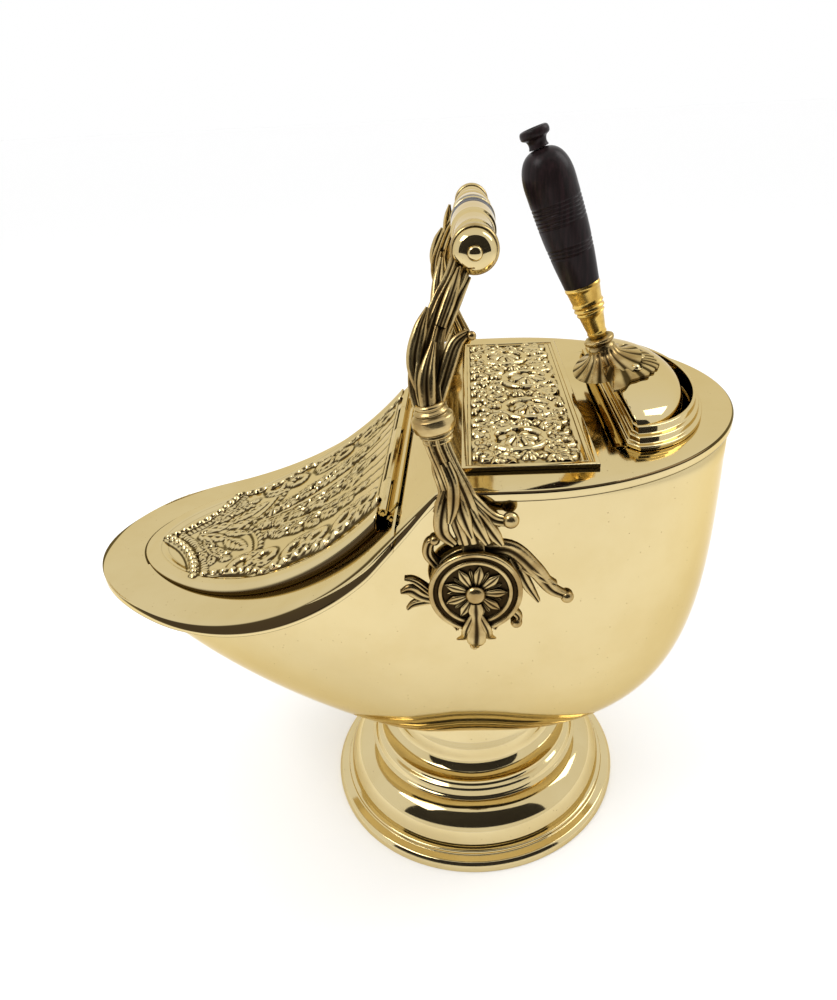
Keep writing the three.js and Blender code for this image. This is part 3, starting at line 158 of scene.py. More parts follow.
def tongue(half, reach, rear_x, steps=120, across=40):
    """A tapering tip as two runs of points: round the tip, and back along the straight rear."""
    angle = half_turn(steps)
    side = np.stack([ROOT_X - reach * np.sin(angle) ** LID_POWER, half * np.cos(angle)], 1)
    side[-1, 1] = 0
    side = side[side[:, 0] < rear_x]
    side = np.concatenate([[[rear_x, side[0, 1]]], side])
    tip = np.concatenate([side, side[-2::-1] * [1, -1]])
    back = np.linspace([rear_x, -side[0, 1]], [rear_x, side[0, 1]], across)
    return tip, back


def resample(points, count):
    """Points at even distances along an open line."""
    points = np.asarray(points, float)
    steps = np.linalg.norm(np.diff(points, axis=0), axis=1)
    along = np.concatenate([[0], np.cumsum(steps)])
    at = np.linspace(0, along[-1], count)
    return np.stack([np.interp(at, along, column) for column in points.T], 1)


def spline(stations, count):
    """Catmull-Rom curve through rows of numbers."""
    rows = np.asarray(stations, float)
    padded = np.concatenate([[2 * rows[0] - rows[1]], rows, [2 * rows[-1] - rows[-2]]])
    out = []
    for t in np.linspace(0, len(rows) - 1, count):
        i = min(int(t), len(rows) - 2)
        f = t - i
        a, b, c, d = padded[i:i + 4]
        out.append(0.5 * (2 * b + (c - a) * f + (2 * a - 5 * b + 4 * c - d) * f ** 2
                          + (3 * b - a - 3 * c + d) * f ** 3))
    return np.array(out)


def soften(profile, size, steps=3):
    """A line of points with its inner corners rounded off."""
    points = [np.array(p, float) for p in profile]
    out = [points[0]]
    for before, corner, after in zip(points, points[1:], points[2:]):
        back, on = before - corner, after - corner
        near = min(size, 0.45 * np.linalg.norm(back), 0.45 * np.linalg.norm(on))
        start = corner + back / max(np.linalg.norm(back), 1e-9) * near
        end = corner + on / max(np.linalg.norm(on), 1e-9) * near
        for t in np.linspace(0, 1, steps + 1):
            out.append((1 - t) ** 2 * start + 2 * t * (1 - t) * corner + t ** 2 * end)
    out.append(points[-1])
    return np.array(out)


# ------------------------------------------------------------------ meshes

def loft(rows, around=True):
    """A skin over rows of points, closed around each row or left open."""
    rows = np.asarray(rows, float)
    if around:
        rows = np.concatenate([rows, rows[:, :1]], axis=1)
    down, across = rows.shape[0] - 1, rows.shape[1] - 1
    mesh = bmesh.new()
    bmesh.ops.create_grid(mesh, x_segments=across, y_segments=down, size=0.5)
    # A fourth number in each point is kept as the mark for painted shade and painted dark reflection.
    painted_dark = mesh.verts.layers.float.new("painted_dark") if rows.shape[2] == 4 else None
    for vert in mesh.verts:
        spot = rows[round((vert.co.y + 0.5) * down), round((vert.co.x + 0.5) * across)]
        vert.co = spot[:3]
        if painted_dark:
            vert[painted_dark] = spot[3]
    bmesh.ops.remove_doubles(mesh, verts=mesh.verts, dist=1e-4)
    return mesh


def turned(profile, steps=72):
    """A profile of (radius, height) spun about Z."""
    mesh = bmesh.new()
    verts = [mesh.verts.new((max(radius, 0), 0, height)) for radius, height in profile]
    edges = [mesh.edges.new(pair) for pair in zip(verts, verts[1:])]
    bmesh.ops.spin(mesh, geom=verts + edges, cent=(0, 0, 0), axis=(0, 0, 1),
                   angle=2 * math.pi, steps=steps, use_merge=True)
    bmesh.ops.remove_doubles(mesh, verts=mesh.verts, dist=1e-4)
    bmesh.ops.recalc_face_normals(mesh, faces=mesh.faces)
    return mesh


def moved(mesh, matrix):
    bmesh.ops.transform(mesh, matrix=matrix, verts=mesh.verts)
    return mesh


def joined(*meshes):
    """Several closed shells kept together as one mesh."""
    whole = bmesh.new()
    for mesh in meshes:
        bmesh.ops.recalc_face_normals(mesh, faces=mesh.faces)
        spare = bpy.data.meshes.new("spare")
        mesh.to_mesh(spare)
        mesh.free()
        whole.from_mesh(spare)
        bpy.data.meshes.remove(spare)
    return whole


def marked(mesh, depth_of):
    """Marks how deep in a hollow each point lies, for the painted shade that the looks put there."""
    painted_dark = mesh.verts.layers.float.new("painted_dark")
    for vert in mesh.verts:
        vert[painted_dark] = depth_of(vert.co)
    return mesh


def far_copy(mesh):
    """The same piece on the far side."""
    other = mesh.copy()
    moved(other, Matrix.Scale(-1, 4, (0, 1, 0)))
    bmesh.ops.reverse_faces(other, faces=other.faces)
    return other


def face_towards(mesh, wanted):
    """Turns an open sheet so that most of it faces along wanted(place)."""
    bmesh.ops.recalc_face_normals(mesh, faces=mesh.faces)
    mesh.normal_update()
    score = sum(f.normal.dot(wanted(f.calc_center_median())) * f.calc_area() for f in mesh.faces)
    if score < 0:
        bmesh.ops.reverse_faces(mesh, faces=mesh.faces)
    return mesh


def upward(_place):
    """The way the top sheets face."""
    return Vector((0, 0, 1))


def slice_along_x(mesh, stations):
    for x in stations:
        geometry = mesh.verts[:] + mesh.edges[:] + mesh.faces[:]
        bmesh.ops.bisect_plane(mesh, geom=geometry, dist=1e-4, plane_co=(x, 0, 0), plane_no=(1, 0, 0))
    return mesh


def on_crest(mesh):
    for vert in mesh.verts:
        vert.co.z += float(crest(vert.co.x))
    return mesh


def place(name, mesh, body, node, slot, sharp=38, thickness=0.0, finish=None):
    """Makes the object, in metres in the frame, gives it its look and hides the solid it stands for."""
    moved(mesh, Matrix.Scale(0.001, 4) @ Matrix.Translation((SHIFT, 0, 0)))
    data = bpy.data.meshes.new(name)
    mesh.to_mesh(data)
    mesh.free()
    data.shade_smooth()
    data.set_sharp_from_angle(angle=math.radians(sharp))
    data.materials.append(look_for(finish or slot))
    piece = bpy.data.objects.new(name, data)
    bpy.context.scene.collection.objects.link(piece)
    if thickness:
        wall = piece.modifiers.new("wall", "SOLIDIFY")
        wall.thickness = thickness / 1000
        wall.offset = -1
    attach(piece, body)
    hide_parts(node)


def place_pair(name, mesh, body, node, slot, sharp=38):
    """The piece on the near side and its mirror image on the far side."""
    other = far_copy(mesh)
    place(f"{name}_near", mesh, body, f"{node}_near", slot, sharp)
    place(f"{name}_far", other, body, f"{node}_far", slot, sharp)


def horn(stations, around, steps, flutes=0, depth=0.0, midrib=0.0):
    """A closed tapering body through stations [x, y, z, half width, half thickness], with painted shade marked
    in its flutes and midrib groove.
    """
    rows = spline(stations, steps)
    centres, sizes = rows[:, :3], np.maximum(rows[:, 3:], 0.15)
    tangents = np.gradient(centres, axis=0)
    tangents /= np.linalg.norm(tangents, axis=1)[:, None]
    angle = np.linspace(0, 2 * np.pi, around, endpoint=False)
    wave = 1 + depth * np.cos(flutes * angle)
    groove = np.exp(-(np.cos(angle) / 0.28) ** 2)
    furrow = np.clip(-1.3 * np.cos(flutes * angle), 0, 1)
    # Painted shade along the midrib's groove and in the flutes.
    painted_dark = np.maximum(groove * (midrib > 0), furrow * (flutes > 0))[:, None]
    skin = []
    for centre, (wide, thick), tangent in zip(centres, sizes, tangents):
        across = np.cross((0, 1, 0), tangent)
        across /= max(np.linalg.norm(across), 1e-6)
        through = np.cross(tangent, across)
        section = (centre + np.outer(wide * wave * np.cos(angle), across)
                   + np.outer(thick * wave * (1 - midrib * groove) * np.sin(angle), through))
        skin.append(np.concatenate([section, painted_dark], 1))
    ends = [np.repeat([[*centres[at], 0.0]], around, 0) for at in (0, -1)]
    mesh = loft([ends[0], *skin, ends[1]])
    bmesh.ops.recalc_face_normals(mesh, faces=mesh.faces)
    return mesh


def ball(x, y, z, radius):
    mesh = bmesh.new()
    bmesh.ops.create_uvsphere(mesh, u_segments=20, v_segments=12, radius=radius)
    return moved(mesh, Matrix.Translation((x, y, z)))


# ------------------------------------------------------------------ embossing

def nearest(points, line):
    """Distance of each point to a line, and how far along the line its nearest place is."""
    best = np.full(len(points), 1e9)
    along = np.zeros(len(points))
    start = 0.0
    for a, b in zip(line, line[1:]):
        edge = b - a
        length = np.linalg.norm(edge)
        t = np.clip((points - a) @ edge / length ** 2, 0, 1)
        gap = np.linalg.norm(points - a - t[:, None] * edge, axis=1)
        closer = gap < best
        best = np.where(closer, gap, best)
        along = np.where(closer, start + t * length, along)
        start += length
    return best, along


def within(points, loop):
    """Which points lie inside a closed loop."""
    inside = np.zeros(len(points), bool)
    for a, b in zip(loop, np.roll(loop, -1, axis=0)):
        crosses = (a[1] > points[:, 1]) != (b[1] > points[:, 1])
        rise = b[1] - a[1] if b[1] != a[1] else 1e-9
        at = a[0] + (points[:, 1] - a[1]) / rise * (b[0] - a[0])
        inside ^= crosses & (points[:, 0] < at)
    return inside


def dome(gap, radius, height):
    """Height of a round bulge at a distance from its middle."""
    return height * np.sqrt(np.clip(1 - (gap / radius) ** 2, 0, 1))


def bow(a, b, depth, count=24):
    """A line from a to b, bowed to its left by depth."""
    a, b = np.array(a, float), np.array(b, float)
    t = np.linspace(0, 1, count)[:, None]
    side = np.array([a[1] - b[1], b[0] - a[0]]) / np.linalg.norm(b - a)
    return a + (b - a) * t + side * depth * 4 * t * (1 - t)


def beads(points, line, pitch, radius, height):
    """A row of beads along a line."""
    length = np.sum(np.linalg.norm(np.diff(line, axis=0), axis=1))
    relief = np.zeros(len(points))
    for centre in resample(line, max(int(length / pitch), 2)):
        relief = np.maximum(relief, dome(np.linalg.norm(points - centre, axis=1), radius, height))
    return relief


def leaf(points, root, tip, width, height, veins=5):
    """A pointed leaf with a midrib and slanting veins."""
    root, tip = np.array(root, float), np.array(tip, float)
    length = np.linalg.norm(tip - root)
    ahead = (tip - root) / length
    offset = points - root
    u = offset @ ahead / length
    v = np.abs(offset @ np.array([-ahead[1], ahead[0]]))
    inside = (u > 0) & (u < 1)
    half = width * np.sin(np.pi * np.clip(u, 0.001, 0.999) ** 0.8) ** 0.7 + 0.01
    t = np.clip(v / half, 0, 1)
    rib = 0.72 + 0.28 * np.cos(2 * np.pi * (veins * u - v / width))
    crease = 1 - 0.45 * np.exp(-(v / (0.13 * width + 0.25)) ** 2)
    return np.where(inside & (v < half), height * (1 - t ** 2) ** 0.6 * rib * crease, 0)


def spray(points, start, end, pairs, size, height, bend=0.0):
    """A stem with pairs of leaves and a berry between each pair."""
    line = bow(start, end, bend, pairs * 2 + 3)
    gap, _ = nearest(points, line)
    relief = dome(gap, 1.0, height * 0.8)
    for i in range(pairs):
        here, onward = line[2 * i + 1], line[2 * i + 2]
        ahead = (onward - here) / np.linalg.norm(onward - here)
        reach = size * (1 - 0.35 * abs(2 * i / pairs - 1))
        for side in (-1, 1):
            aside = np.array([-ahead[1], ahead[0]]) * side
            tip = here + reach * (0.78 * ahead + 0.62 * aside)
            relief = np.maximum(relief, leaf(points, here, tip, size * 0.24, height, 3))
            berry = here + reach * 0.45 * aside
            relief = np.maximum(relief, dome(np.linalg.norm(points - berry, axis=1), 1.3, height))
    tip = line[-2] + 1.6 * (line[-1] - line[-2])
    return np.maximum(relief, leaf(points, line[-2], tip, size * 0.25, height, 3))


def flower(points, centre, radius, petals, height, turn=0.0):
    """A round flower: petals with creases, and a button in the middle."""
    offset = points - np.array(centre, float)
    r = np.linalg.norm(offset, axis=1)
    angle = np.arctan2(offset[:, 1], offset[:, 0]) + turn
    wave = np.abs(np.cos(petals * angle / 2))
    reach = radius * (0.62 + 0.38 * wave ** 0.6)
    petal = height * np.clip(1 - (r / reach) ** 3, 0, 1) ** 0.6 * (0.35 + 0.65 * wave ** 0.7)
    petal *= np.clip(r / (0.3 * radius), 0.2, 1)
    return np.maximum(petal, dome(r, radius * 0.26, height * 1.15))


def ring(points, centre, radius, width, height):
    r = np.linalg.norm(points - np.array(centre, float), axis=1)
    return dome(np.abs(r - radius), width, height)


def hollows(relief, depth, reach=3):
    """How deep each place of a grid of heights lies below its neighbours, from 0 to 1."""
    blurred = relief.copy()
    down, across = relief.shape
    for _ in range(reach):
        padded = np.pad(blurred, 1, mode="edge")
        blurred = sum(padded[i:i + down, j:j + across] for i in range(3) for j in range(3)) / 9
    return np.clip((blurred - relief) / depth, 0, 1)


def scroll(points, centre, radius, start, stop, width, height):
    """A C-shaped bracket that curls into a ball at both ends."""
    angle = np.radians(np.linspace(start, stop, 26))
    ease = np.sin(np.linspace(0, np.pi, 26)) ** 0.35
    reach = radius * (0.72 + 0.28 * ease)
    line = np.stack([centre[0] + reach * np.cos(angle), centre[1] + reach * np.sin(angle)], 1)
    gap, along = nearest(points, line)
    total = np.sum(np.linalg.norm(np.diff(line, axis=0), axis=1))
    swell = width * (0.55 + 0.6 * np.sin(np.pi * np.clip(along / total, 0, 1)))
    relief = height * np.sqrt(np.clip(1 - (gap / swell) ** 2, 0, 1))
    for end in (line[0], line[-1]):
        relief = np.maximum(relief, dome(np.linalg.norm(points - end, axis=1), width * 1.15, height * 1.1))
    return relief


CUSPS = [(-237, 0), (-196, 64), (-139, 84), (-92, 89), (-54, 93)]
BOW_DEPTHS = [7, 7, 6, 4]
PLAIN_BAND = 11.5      # smooth border inside the lid's edge


def scallops(side):
    """The bowed lines between the lid's cusps, on one side."""
    return [bow((a[0], side * a[1]), (b[0], side * b[1]), -side * depth)
            for a, b, depth in zip(CUSPS, CUSPS[1:], BOW_DEPTHS)]


def lid_relief(points, edge):
    """Embossing of the lid: scalloped bead rows, crescents, sprays and scrolls."""
    far, near = scallops(1), scallops(-1)
    loop = np.concatenate([*far, *[line[::-1] for line in near[::-1]]])
    field = within(points, loop)
    row = np.zeros(len(points))
    gap = np.full(len(points), 1e9)
    for line in far + near:
        row = np.maximum(row, beads(points, line, 6.3, 2.9, 2.6))
        gap = np.minimum(gap, nearest(points, line)[0])
    inside = edge > PLAIN_BAND
    dish = -2.4 * np.clip((edge - PLAIN_BAND) / 5, 0, 1) * np.clip((gap - 1) / 5, 0, 1)
    relief = np.where(field, -1.3, np.where(inside, dish, 0))
    relief -= 0.7 * np.exp(-((edge - PLAIN_BAND) / 0.9) ** 2)
    relief = np.where(~field & inside, relief - 0.6 * np.exp(-((gap - 5.5) / 0.8) ** 2), relief)
    hatch = np.zeros(len(points))
    for line in far[:1] + near[:1]:
        away, along = nearest(points, line)
        hatch = np.maximum(hatch, dome(np.abs(away - 7.5), 2.6, 1.6) * (0.55 + 0.45 * np.cos(along * 1.8)))
    ornament = np.where(field, hatch, 0)
    for side in (-1, 1):
        parts = [
            spray(points, (-204, side * 12), (-176, side * 46), 3, 17, 2.4, side * 5),
            leaf(points, (-212, side * 2), (-184, side * 14), 6, 2.2, 4),
            leaf(points, (-186, side * 14), (-163, side * 38), 6, 2.2, 5),
            leaf(points, (-190, side * 4), (-164, side * 12), 4.6, 2.0, 4),
        ]
        for x0, x1, y in [(-170, -135, 61), (-126, -95, 69), (-87, -58, 73)]:
            middle = (x0 + x1) / 2
            reach = (x1 - x0) / 2
            for shift, size, start, stop in [(-0.45, 0.52, 20, 320), (0.5, 0.46, -160, 140)]:
                centre = (middle + reach * shift, side * y)
                parts.append(scroll(points, centre, reach * size, start * side, stop * side, 2.5, 2.3))
            parts += [
                leaf(points, (x0 + 1, side * (y - 10)), (middle + 6, side * (y - 12)), 4.6, 2.0, 4),
                leaf(points, (middle - 5, side * (y + 9)), (x1, side * (y + 10)), 4, 1.9, 4),
                flower(points, (middle, side * y), 5.6, 6, 2.3),
            ]
        for part in parts:
            ornament = np.maximum(ornament, part)
    sprays = [
        ((-154, 15), (-70, 42), 5, 21, 4), ((-157, -5), (-70, 3), 5, 20, -3),
        ((-148, -24), (-70, -38), 5, 21, -4),
    ]
    for start, end, pairs, size, bend in sprays:
        ornament = np.maximum(ornament, spray(points, start, end, pairs, size, 2.7, bend))
        ornament = np.maximum(ornament, flower(points, start, 6.5, 6, 2.6))
    for i, y in enumerate(np.linspace(-50, 50, 7)):
        line = bow((-158, y * 0.22), (-55, y * 1.02), 1.5)
        away, _ = nearest(points, line)
        if i % 2 == 0:
            ornament = np.maximum(ornament, flower(points, line[17], 7.5, 6, 2.0, 0.3 * i))
        relief -= np.where(field, 1.1 * np.exp(-(away / 1.1) ** 2), 0)
    for side in (-1, 1):
        away, _ = nearest(points, bow((-178, 0), (-157, side * 42), -side * 4))
        relief -= np.where(field, 1.2 * np.exp(-(away / 1.1) ** 2), 0)
        inner = bow((-172, 0), (-151, side * 42), -side * 4)
        ornament = np.maximum(ornament, beads(points, inner, 5.4, 2.1, 1.9))
    relief += np.where(field, ornament, 0)
    return np.maximum(relief, np.where(gap < 3.1, row - 0.3, relief))


MEDALLIONS = [(35.5, 85), (49.5, 30), (46.5, -31), (36.5, -83)]


def panel_relief(points):
    """Embossing of the deck's panel: four ringed flowers among scrolls and leaves."""
    parts = [np.zeros(len(points))]
    for i, (x, y) in enumerate(MEDALLIONS):
        centre = (x, y)
        parts += [
            ring(points, centre, 17.0, 2.6, 2.6),
            flower(points, centre, 13.2, 7, 3.2, 0.25 * i),
            flower(points, centre, 6.2, 5, 3.6, 0.5 * i),
        ]
        for dx, facing in ((-1, 0), (1, 180)):
            at = (x + dx * 25, y)
            parts.append(scroll(points, at, 9, facing - 80, facing + 80, 3.0, 2.7))
            for side in (-1, 1):
                tip = (at[0] - dx * 3, y + side * 21)
                parts.append(leaf(points, (at[0] - dx, y + side * 5), tip, 5.2, 2.6, 3))
    for y in (58, 0, -57, 108, -108):
        parts += [
            leaf(points, (12, y - 3), (39, y + 1), 7, 2.8, 4),
            leaf(points, (72, y + 3), (45, y - 1), 7, 2.8, 4),
            flower(points, (41.5, y), 6.4, 6, 3.0),
        ]
        for x in (26, 59):
            for side in (-1, 1):
                start = 90 * side + (20 if x == 26 else 160) - 120
                parts.append(scroll(points, (x, y + side * 8), 6.4, start, start + 250, 2.2, 2.5))
    for i, y in enumerate(np.linspace(-109, 109, 13)):
        for x, way in ((PANEL_X[0] + 12.5, 1), (PANEL_X[1] - 17, -1)):
            turn = 90 * way + (40 if i % 2 else -40)
            parts.append(scroll(points, (x, y), 6.2, turn - 130, turn + 130, 2.1, 2.4))
            parts.append(leaf(points, (x - 3 * way, y + 7), (x + 9 * way, y + 11), 3.4, 2.4, 3))
    return np.maximum.reduce(parts)


# ------------------------------------------------------------------ materials

class Socket:
    """A node's output with arithmetic."""

    def __init__(self, tree, link):
        self.tree = tree
        self.link = link

    def maths(self, operation, *values):
        return self.tree.node("ShaderNodeMath", {"operation": operation}, dict(enumerate(values)))

    def __add__(self, other):
        return self.maths("ADD", self, other)

    def __sub__(self, other):
        return self.maths("SUBTRACT", self, other)

    def __rsub__(self, other):
        return self.maths("SUBTRACT", other, self)

    def __mul__(self, other):
        return self.maths("MULTIPLY", self, other)

    def above(self, edge, softness):
        """0 below the edge and 1 above it, over a soft step."""
        settings = {"interpolation_type": "SMOOTHSTEP"}
        inputs = {0: self, 1: edge - softness, 2: edge + softness, 3: 0.0, 4: 1.0}
        return self.tree.node("ShaderNodeMapRange", settings, inputs)


class Look:
    """A material's nodes."""

    def __init__(self, name):
        self.material = bpy.data.materials.new(name)
        self.material.use_nodes = True
        self.nodes = self.material.node_tree.nodes
        self.nodes.clear()
        self.place = self.node("ShaderNodeTexCoord", {}, {}, "Object")

    def node(self, kind, settings, inputs, output=0):
        node = self.nodes.new(kind)
        for key, value in settings.items():
            setattr(node, key, value)
        for key, value in inputs.items():
            if isinstance(value, Socket):
                self.material.node_tree.links.new(value.link, node.inputs[key])
            elif value is not None:
                node.inputs[key].default_value = value
        return Socket(self, node.outputs[output])

    def noise(self, scale, detail=2.0, place=None, rough=0.5):
        inputs = {"Vector": place or self.place, "Scale": scale, "Detail": detail, "Roughness": rough}
        return self.node("ShaderNodeTexNoise", {}, inputs)

    def stretched(self, scale, turn=(0.0, 0.0, 0.0)):
        return self.node("ShaderNodeMapping", {}, {"Vector": self.place, "Scale": scale, "Rotation": turn})

    def mix(self, factor, first, second):
        settings = {"data_type": "RGBA"}
        return self.node("ShaderNodeMix", settings, {0: factor, 6: first, 7: second}, 2)

    def cells(self, scale):
        return self.node("ShaderNodeTexVoronoi", {}, {"Vector": self.place, "Scale": scale}, 0)

    def painted_dark(self, edge, softness):
        """1 on the places the mesh marks for painted shade and painted dark reflection, 0 elsewhere."""
        return self.node("ShaderNodeAttribute", {"attribute_name": "painted_dark"}, {}, 2).above(edge, softness)

    def corners(self, distance):
        """Open places near 1, recesses towards 0."""
        return self.node("ShaderNodeAmbientOcclusion", {"samples": 6}, {"Distance": distance}, 1)

    def bump(self, height, strength, distance):
        inputs = {"Strength": strength, "Distance": distance, "Height": height}
        return self.node("ShaderNodeBump", {}, inputs)

    def finish(self, colour, roughness, normal, metallic=1.0, **fixed):
        inputs = {"Base Color": colour, "Roughness": roughness, "Normal": normal, "Metallic": metallic}
        shader = self.node("ShaderNodeBsdfPrincipled", {}, {**inputs, **fixed})
        output = self.nodes.new("ShaderNodeOutputMaterial")
        self.material.node_tree.links.new(shader.link, output.inputs["Surface"])
        return self.material


def opaque(colour):
    return (*colour, 1.0)


def scaled(colour, by):
    return (*[channel * share for channel, share in zip(colour, by)], 1.0)


EDGE_TINT = (0.86, 0.76, 0.54, 1.0)      # brass stays golden where it is seen edge-on


def polished(name, colour, roughness=0.07, recess_shade=0.0, hollow=False):
    """Polished brass with a faint tarnish, hairline scratches and specks; where asked, it paints shade into
    recesses and paints the darkening that the mesh marks.
    """
    look = Look(name)
    tarnish = look.noise(14.0, 4.0, rough=0.6).above(0.52, 0.16)
    tone = look.mix(tarnish * 0.35, opaque(colour), scaled(colour, (0.86, 0.8, 0.66)))
    specks = (1 - look.cells(230.0).above(0.09, 0.03)) * look.noise(60.0).above(0.55, 0.03)
    tone = look.mix(specks * 0.55, tone, scaled(colour, (0.3, 0.24, 0.16)))
    # Painted shade: darkens the corners and recesses that ambient occlusion finds.
    if recess_shade:
        shade = (1 - look.corners(0.004)).above(0.42, 0.3) * recess_shade
        tone = look.mix(shade, tone, scaled(colour, (0.12, 0.08, 0.05)))
    lines = look.noise(1.0, 2.0, look.stretched((2600.0, 60.0, 60.0), (0.2, 0.1, 0.5)))
    cross = look.noise(1.0, 2.0, look.stretched((60.0, 2200.0, 60.0), (0.1, 0.3, -0.3)))
    scratch = lines.above(0.72, 0.04) + cross.above(0.74, 0.04)
    haze = look.noise(35.0, 3.0)
    # Painted shade and painted dark reflection on the places the mesh marks.
    if hollow:
        tone = look.mix(look.painted_dark(0.42, 0.3) * 0.96, tone, scaled(colour, (0.05, 0.032, 0.02)))
    dull = haze * 0.06 + scratch * 0.06 + specks * 0.3 + (roughness - 0.03)
    uneven = look.noise(9.0, 1.0) + scratch * -0.012
    return look.finish(tone, dull, look.bump(uneven, 0.25, 0.0012), **{"Specular Tint": EDGE_TINT})


def cast(name, colour):
    """Cast brass, bright on its raised parts, with painted shade darkening its recesses and marked grooves."""
    look = Look(name)
    # Painted shade: recesses found by ambient occlusion and by the mesh's marks are darkened and made rougher.
    hidden = (1 - look.corners(0.008)).above(0.34, 0.24)
    recess_shade = hidden.maths("MAXIMUM", hidden, look.painted_dark(0.45, 0.35))
    tarnish = look.noise(60.0, 4.0).above(0.52, 0.14)
    tone = look.mix(tarnish * 0.7, opaque(colour), scaled(colour, (0.42, 0.32, 0.2)))
    tone = look.mix(recess_shade * 0.97, tone, scaled(colour, (0.05, 0.035, 0.025)))
    grain = look.noise(420.0, 3.0)
    roughness = look.noise(70.0, 3.0) * 0.2 + recess_shade * 0.3 + 0.13
    relief = look.bump(grain + look.noise(90.0) * 2.0, 0.35, 0.0004)
    return look.finish(tone, roughness, relief, **{"Specular Tint": EDGE_TINT})


def gilt(name, colour):
    """Gilding with patches of darker tarnish."""
    look = Look(name)
    tarnish = look.noise(90.0, 4.0).above(0.55, 0.12)
    tone = look.mix(tarnish * 0.7, opaque(colour), scaled(colour, (0.5, 0.4, 0.25)))
    roughness = look.noise(120.0, 3.0) * 0.25 + 0.12
    return look.finish(tone, roughness, look.bump(look.noise(300.0, 3.0), 0.3, 0.0003))


def ebony(name, colour):
    """Ebonised wood under wax: faint grain, soft sheen."""
    look = Look(name)
    grain = look.noise(1.0, 5.0, look.stretched((420.0, 420.0, 40.0)))
    tone = look.mix(grain.above(0.55, 0.2) * 0.8, opaque(colour), scaled(colour, (2.6, 2.0, 2.2)))
    roughness = look.noise(60.0, 3.0) * 0.14 + 0.26
    return look.finish(tone, roughness, look.bump(grain, 0.2, 0.0003), 0.0,
                       **{"Specular IOR Level": 0.1, "Coat Weight": 0.04, "Coat Roughness": 0.15})


def steel(name, colour):
    """Brushed steel with spots of rust."""
    look = Look(name)
    brush = look.noise(1.0, 3.0, look.stretched((900.0, 900.0, 60.0)))
    rust = look.noise(50.0, 4.0).above(0.55, 0.15) * 0.6
    tone = look.mix(rust, opaque(colour), scaled(colour, (0.6, 0.5, 0.42)))
    return look.finish(tone, brush * 0.2 + 0.3, look.bump(brush, 0.3, 0.0002))


LOOKS = {}


def look_for(slot):
    """The material for a slot of the record, or for one of the finer finishes."""
    if not LOOKS:
        sizes = bpy.context.scene.scuttle
        brass = tuple(sizes.brass)
        LOOKS["polished_brass"] = polished("polished brass", brass)
        # The rolled and embossed finishes paint shade and dark reflection where the mesh marks them; the
        # embossed one also paints shade into recesses.
        LOOKS["rolled_brass"] = polished("rolled brass", brass, hollow=True)
        LOOKS["embossed_brass"] = polished("embossed brass", brass, 0.09, 0.9, True)
        LOOKS["gilt_brass"] = gilt("gilt brass", tuple(sizes.gilding))
        LOOKS["cast_brass"] = cast("cast brass", tuple(sizes.casting))
        LOOKS["steel"] = steel("steel", tuple(sizes.steel))
        LOOKS["ebonised_wood"] = ebony("ebonised wood", tuple(sizes.ebony))
    return LOOKS[slot]


# ------------------------------------------------------------------ sheet metal

def hull_mesh():
    """The body's outer skin, from the rim down to the disc on the foot."""
    plan = plan_outline(2.3, 7.5, 1.5)
    offset = plan - [BODY_X, 0]
    reach = np.linalg.norm(offset, axis=1)
    cosine = offset[:, 0] / reach
    end = np.where((cosine > 0)[:, None], BULGE_REAR, BULGE_LIP)
    h, v = (BULGE_SIDE + (end - BULGE_SIDE) * (cosine ** 2)[:, None]).T
    top = np.asarray(crest(plan[:, 0]))
    drop = top - BODY_Z
    start = np.arcsin((1.6 / drop) ** (1 / v))
    rows = []
    for share in np.linspace(0, 1, 57):
        angle = start + (np.pi / 2 - start) * share ** 1.1
        inward = (BODY_FLAT + (reach - BODY_FLAT) * np.maximum(np.cos(angle), 0) ** h) / reach
        height = top - drop * np.sin(angle) ** v
        rows.append(np.stack([BODY_X + offset[:, 0] * inward, plan[:, 1] * inward, height], 1))
    floor = rows[-1].copy()
    heading = np.arctan2(floor[:, 1], floor[:, 0] - BODY_X)
    for radius in (40, 20, BORE):
        flat = np.full(len(heading), BODY_Z)
        rows.append(np.stack([radius * np.cos(heading), radius * np.sin(heading), flat], 1))
    return face_towards(loft(rows), lambda place: (place - Vector((0, 0, 230))).normalized())


def band_rows(edge, outline, drop, steps=10):
    """Rows of points that roll from the flat flange's edge down to the turned-down skirt.

    The fourth number is a painted dark reflection on the steep part of the roll and a painted shadow along the
    skirt's lower edge.
    """
    out = outline - edge
    first = math.radians(24)
    rows = []
    for angle in np.linspace(first, math.pi / 2, steps):
        across = (math.sin(angle) - math.sin(first)) / (1 - math.sin(first))
        down = drop * (math.cos(first) - math.cos(angle)) / math.cos(first)
        # Painted dark reflection on the steep part of the roll.
        shade = np.full((len(edge), 1), 0.8 if 0.7 < angle < 1.45 else 0.0)
        rows.append(np.concatenate([edge + out * across, -down[:, None], shade], 1))
    skirt = np.maximum(6 - drop, 1.6)
    # Painted shadow along the skirt's lower edge.
    for share, shade in ((0.3, 0.0), (0.8, 0.2), (1, 0.9)):
        dark = np.full((len(edge), 1), shade)
        rows.append(np.concatenate([outline, -(drop + skirt * share)[:, None], dark], 1))
    return rows


def clipped_run(rear, seam):
    """Flange edge and outline beside each other on one side of the seam, as open lines."""
    edge, outline = flange_edge(), plan_outline(0, 0)
    count = len(edge)
    split = int(np.argmin(np.abs(edge[:count // 2, 0] - seam)))
    if rear:
        order = [*range(count - split, count), *range(0, split + 1)]
    else:
        order = list(range(split, count - split + 1))
    edge, outline = edge[order].copy(), outline[order].copy()
    for line in (edge, outline):
        line[0, 0] = line[-1, 0] = seam
    return edge, outline


def roll_drop(x):
    """How far the roll falls, from the lip to the deck."""
    stations = [-285, -250, -200, -140, -100, -55, -30, -8]
    return np.interp(x, stations, [1.0, 2.1, 3.8, 5.7, 7.0, 8.6, 6.0, 1.6])


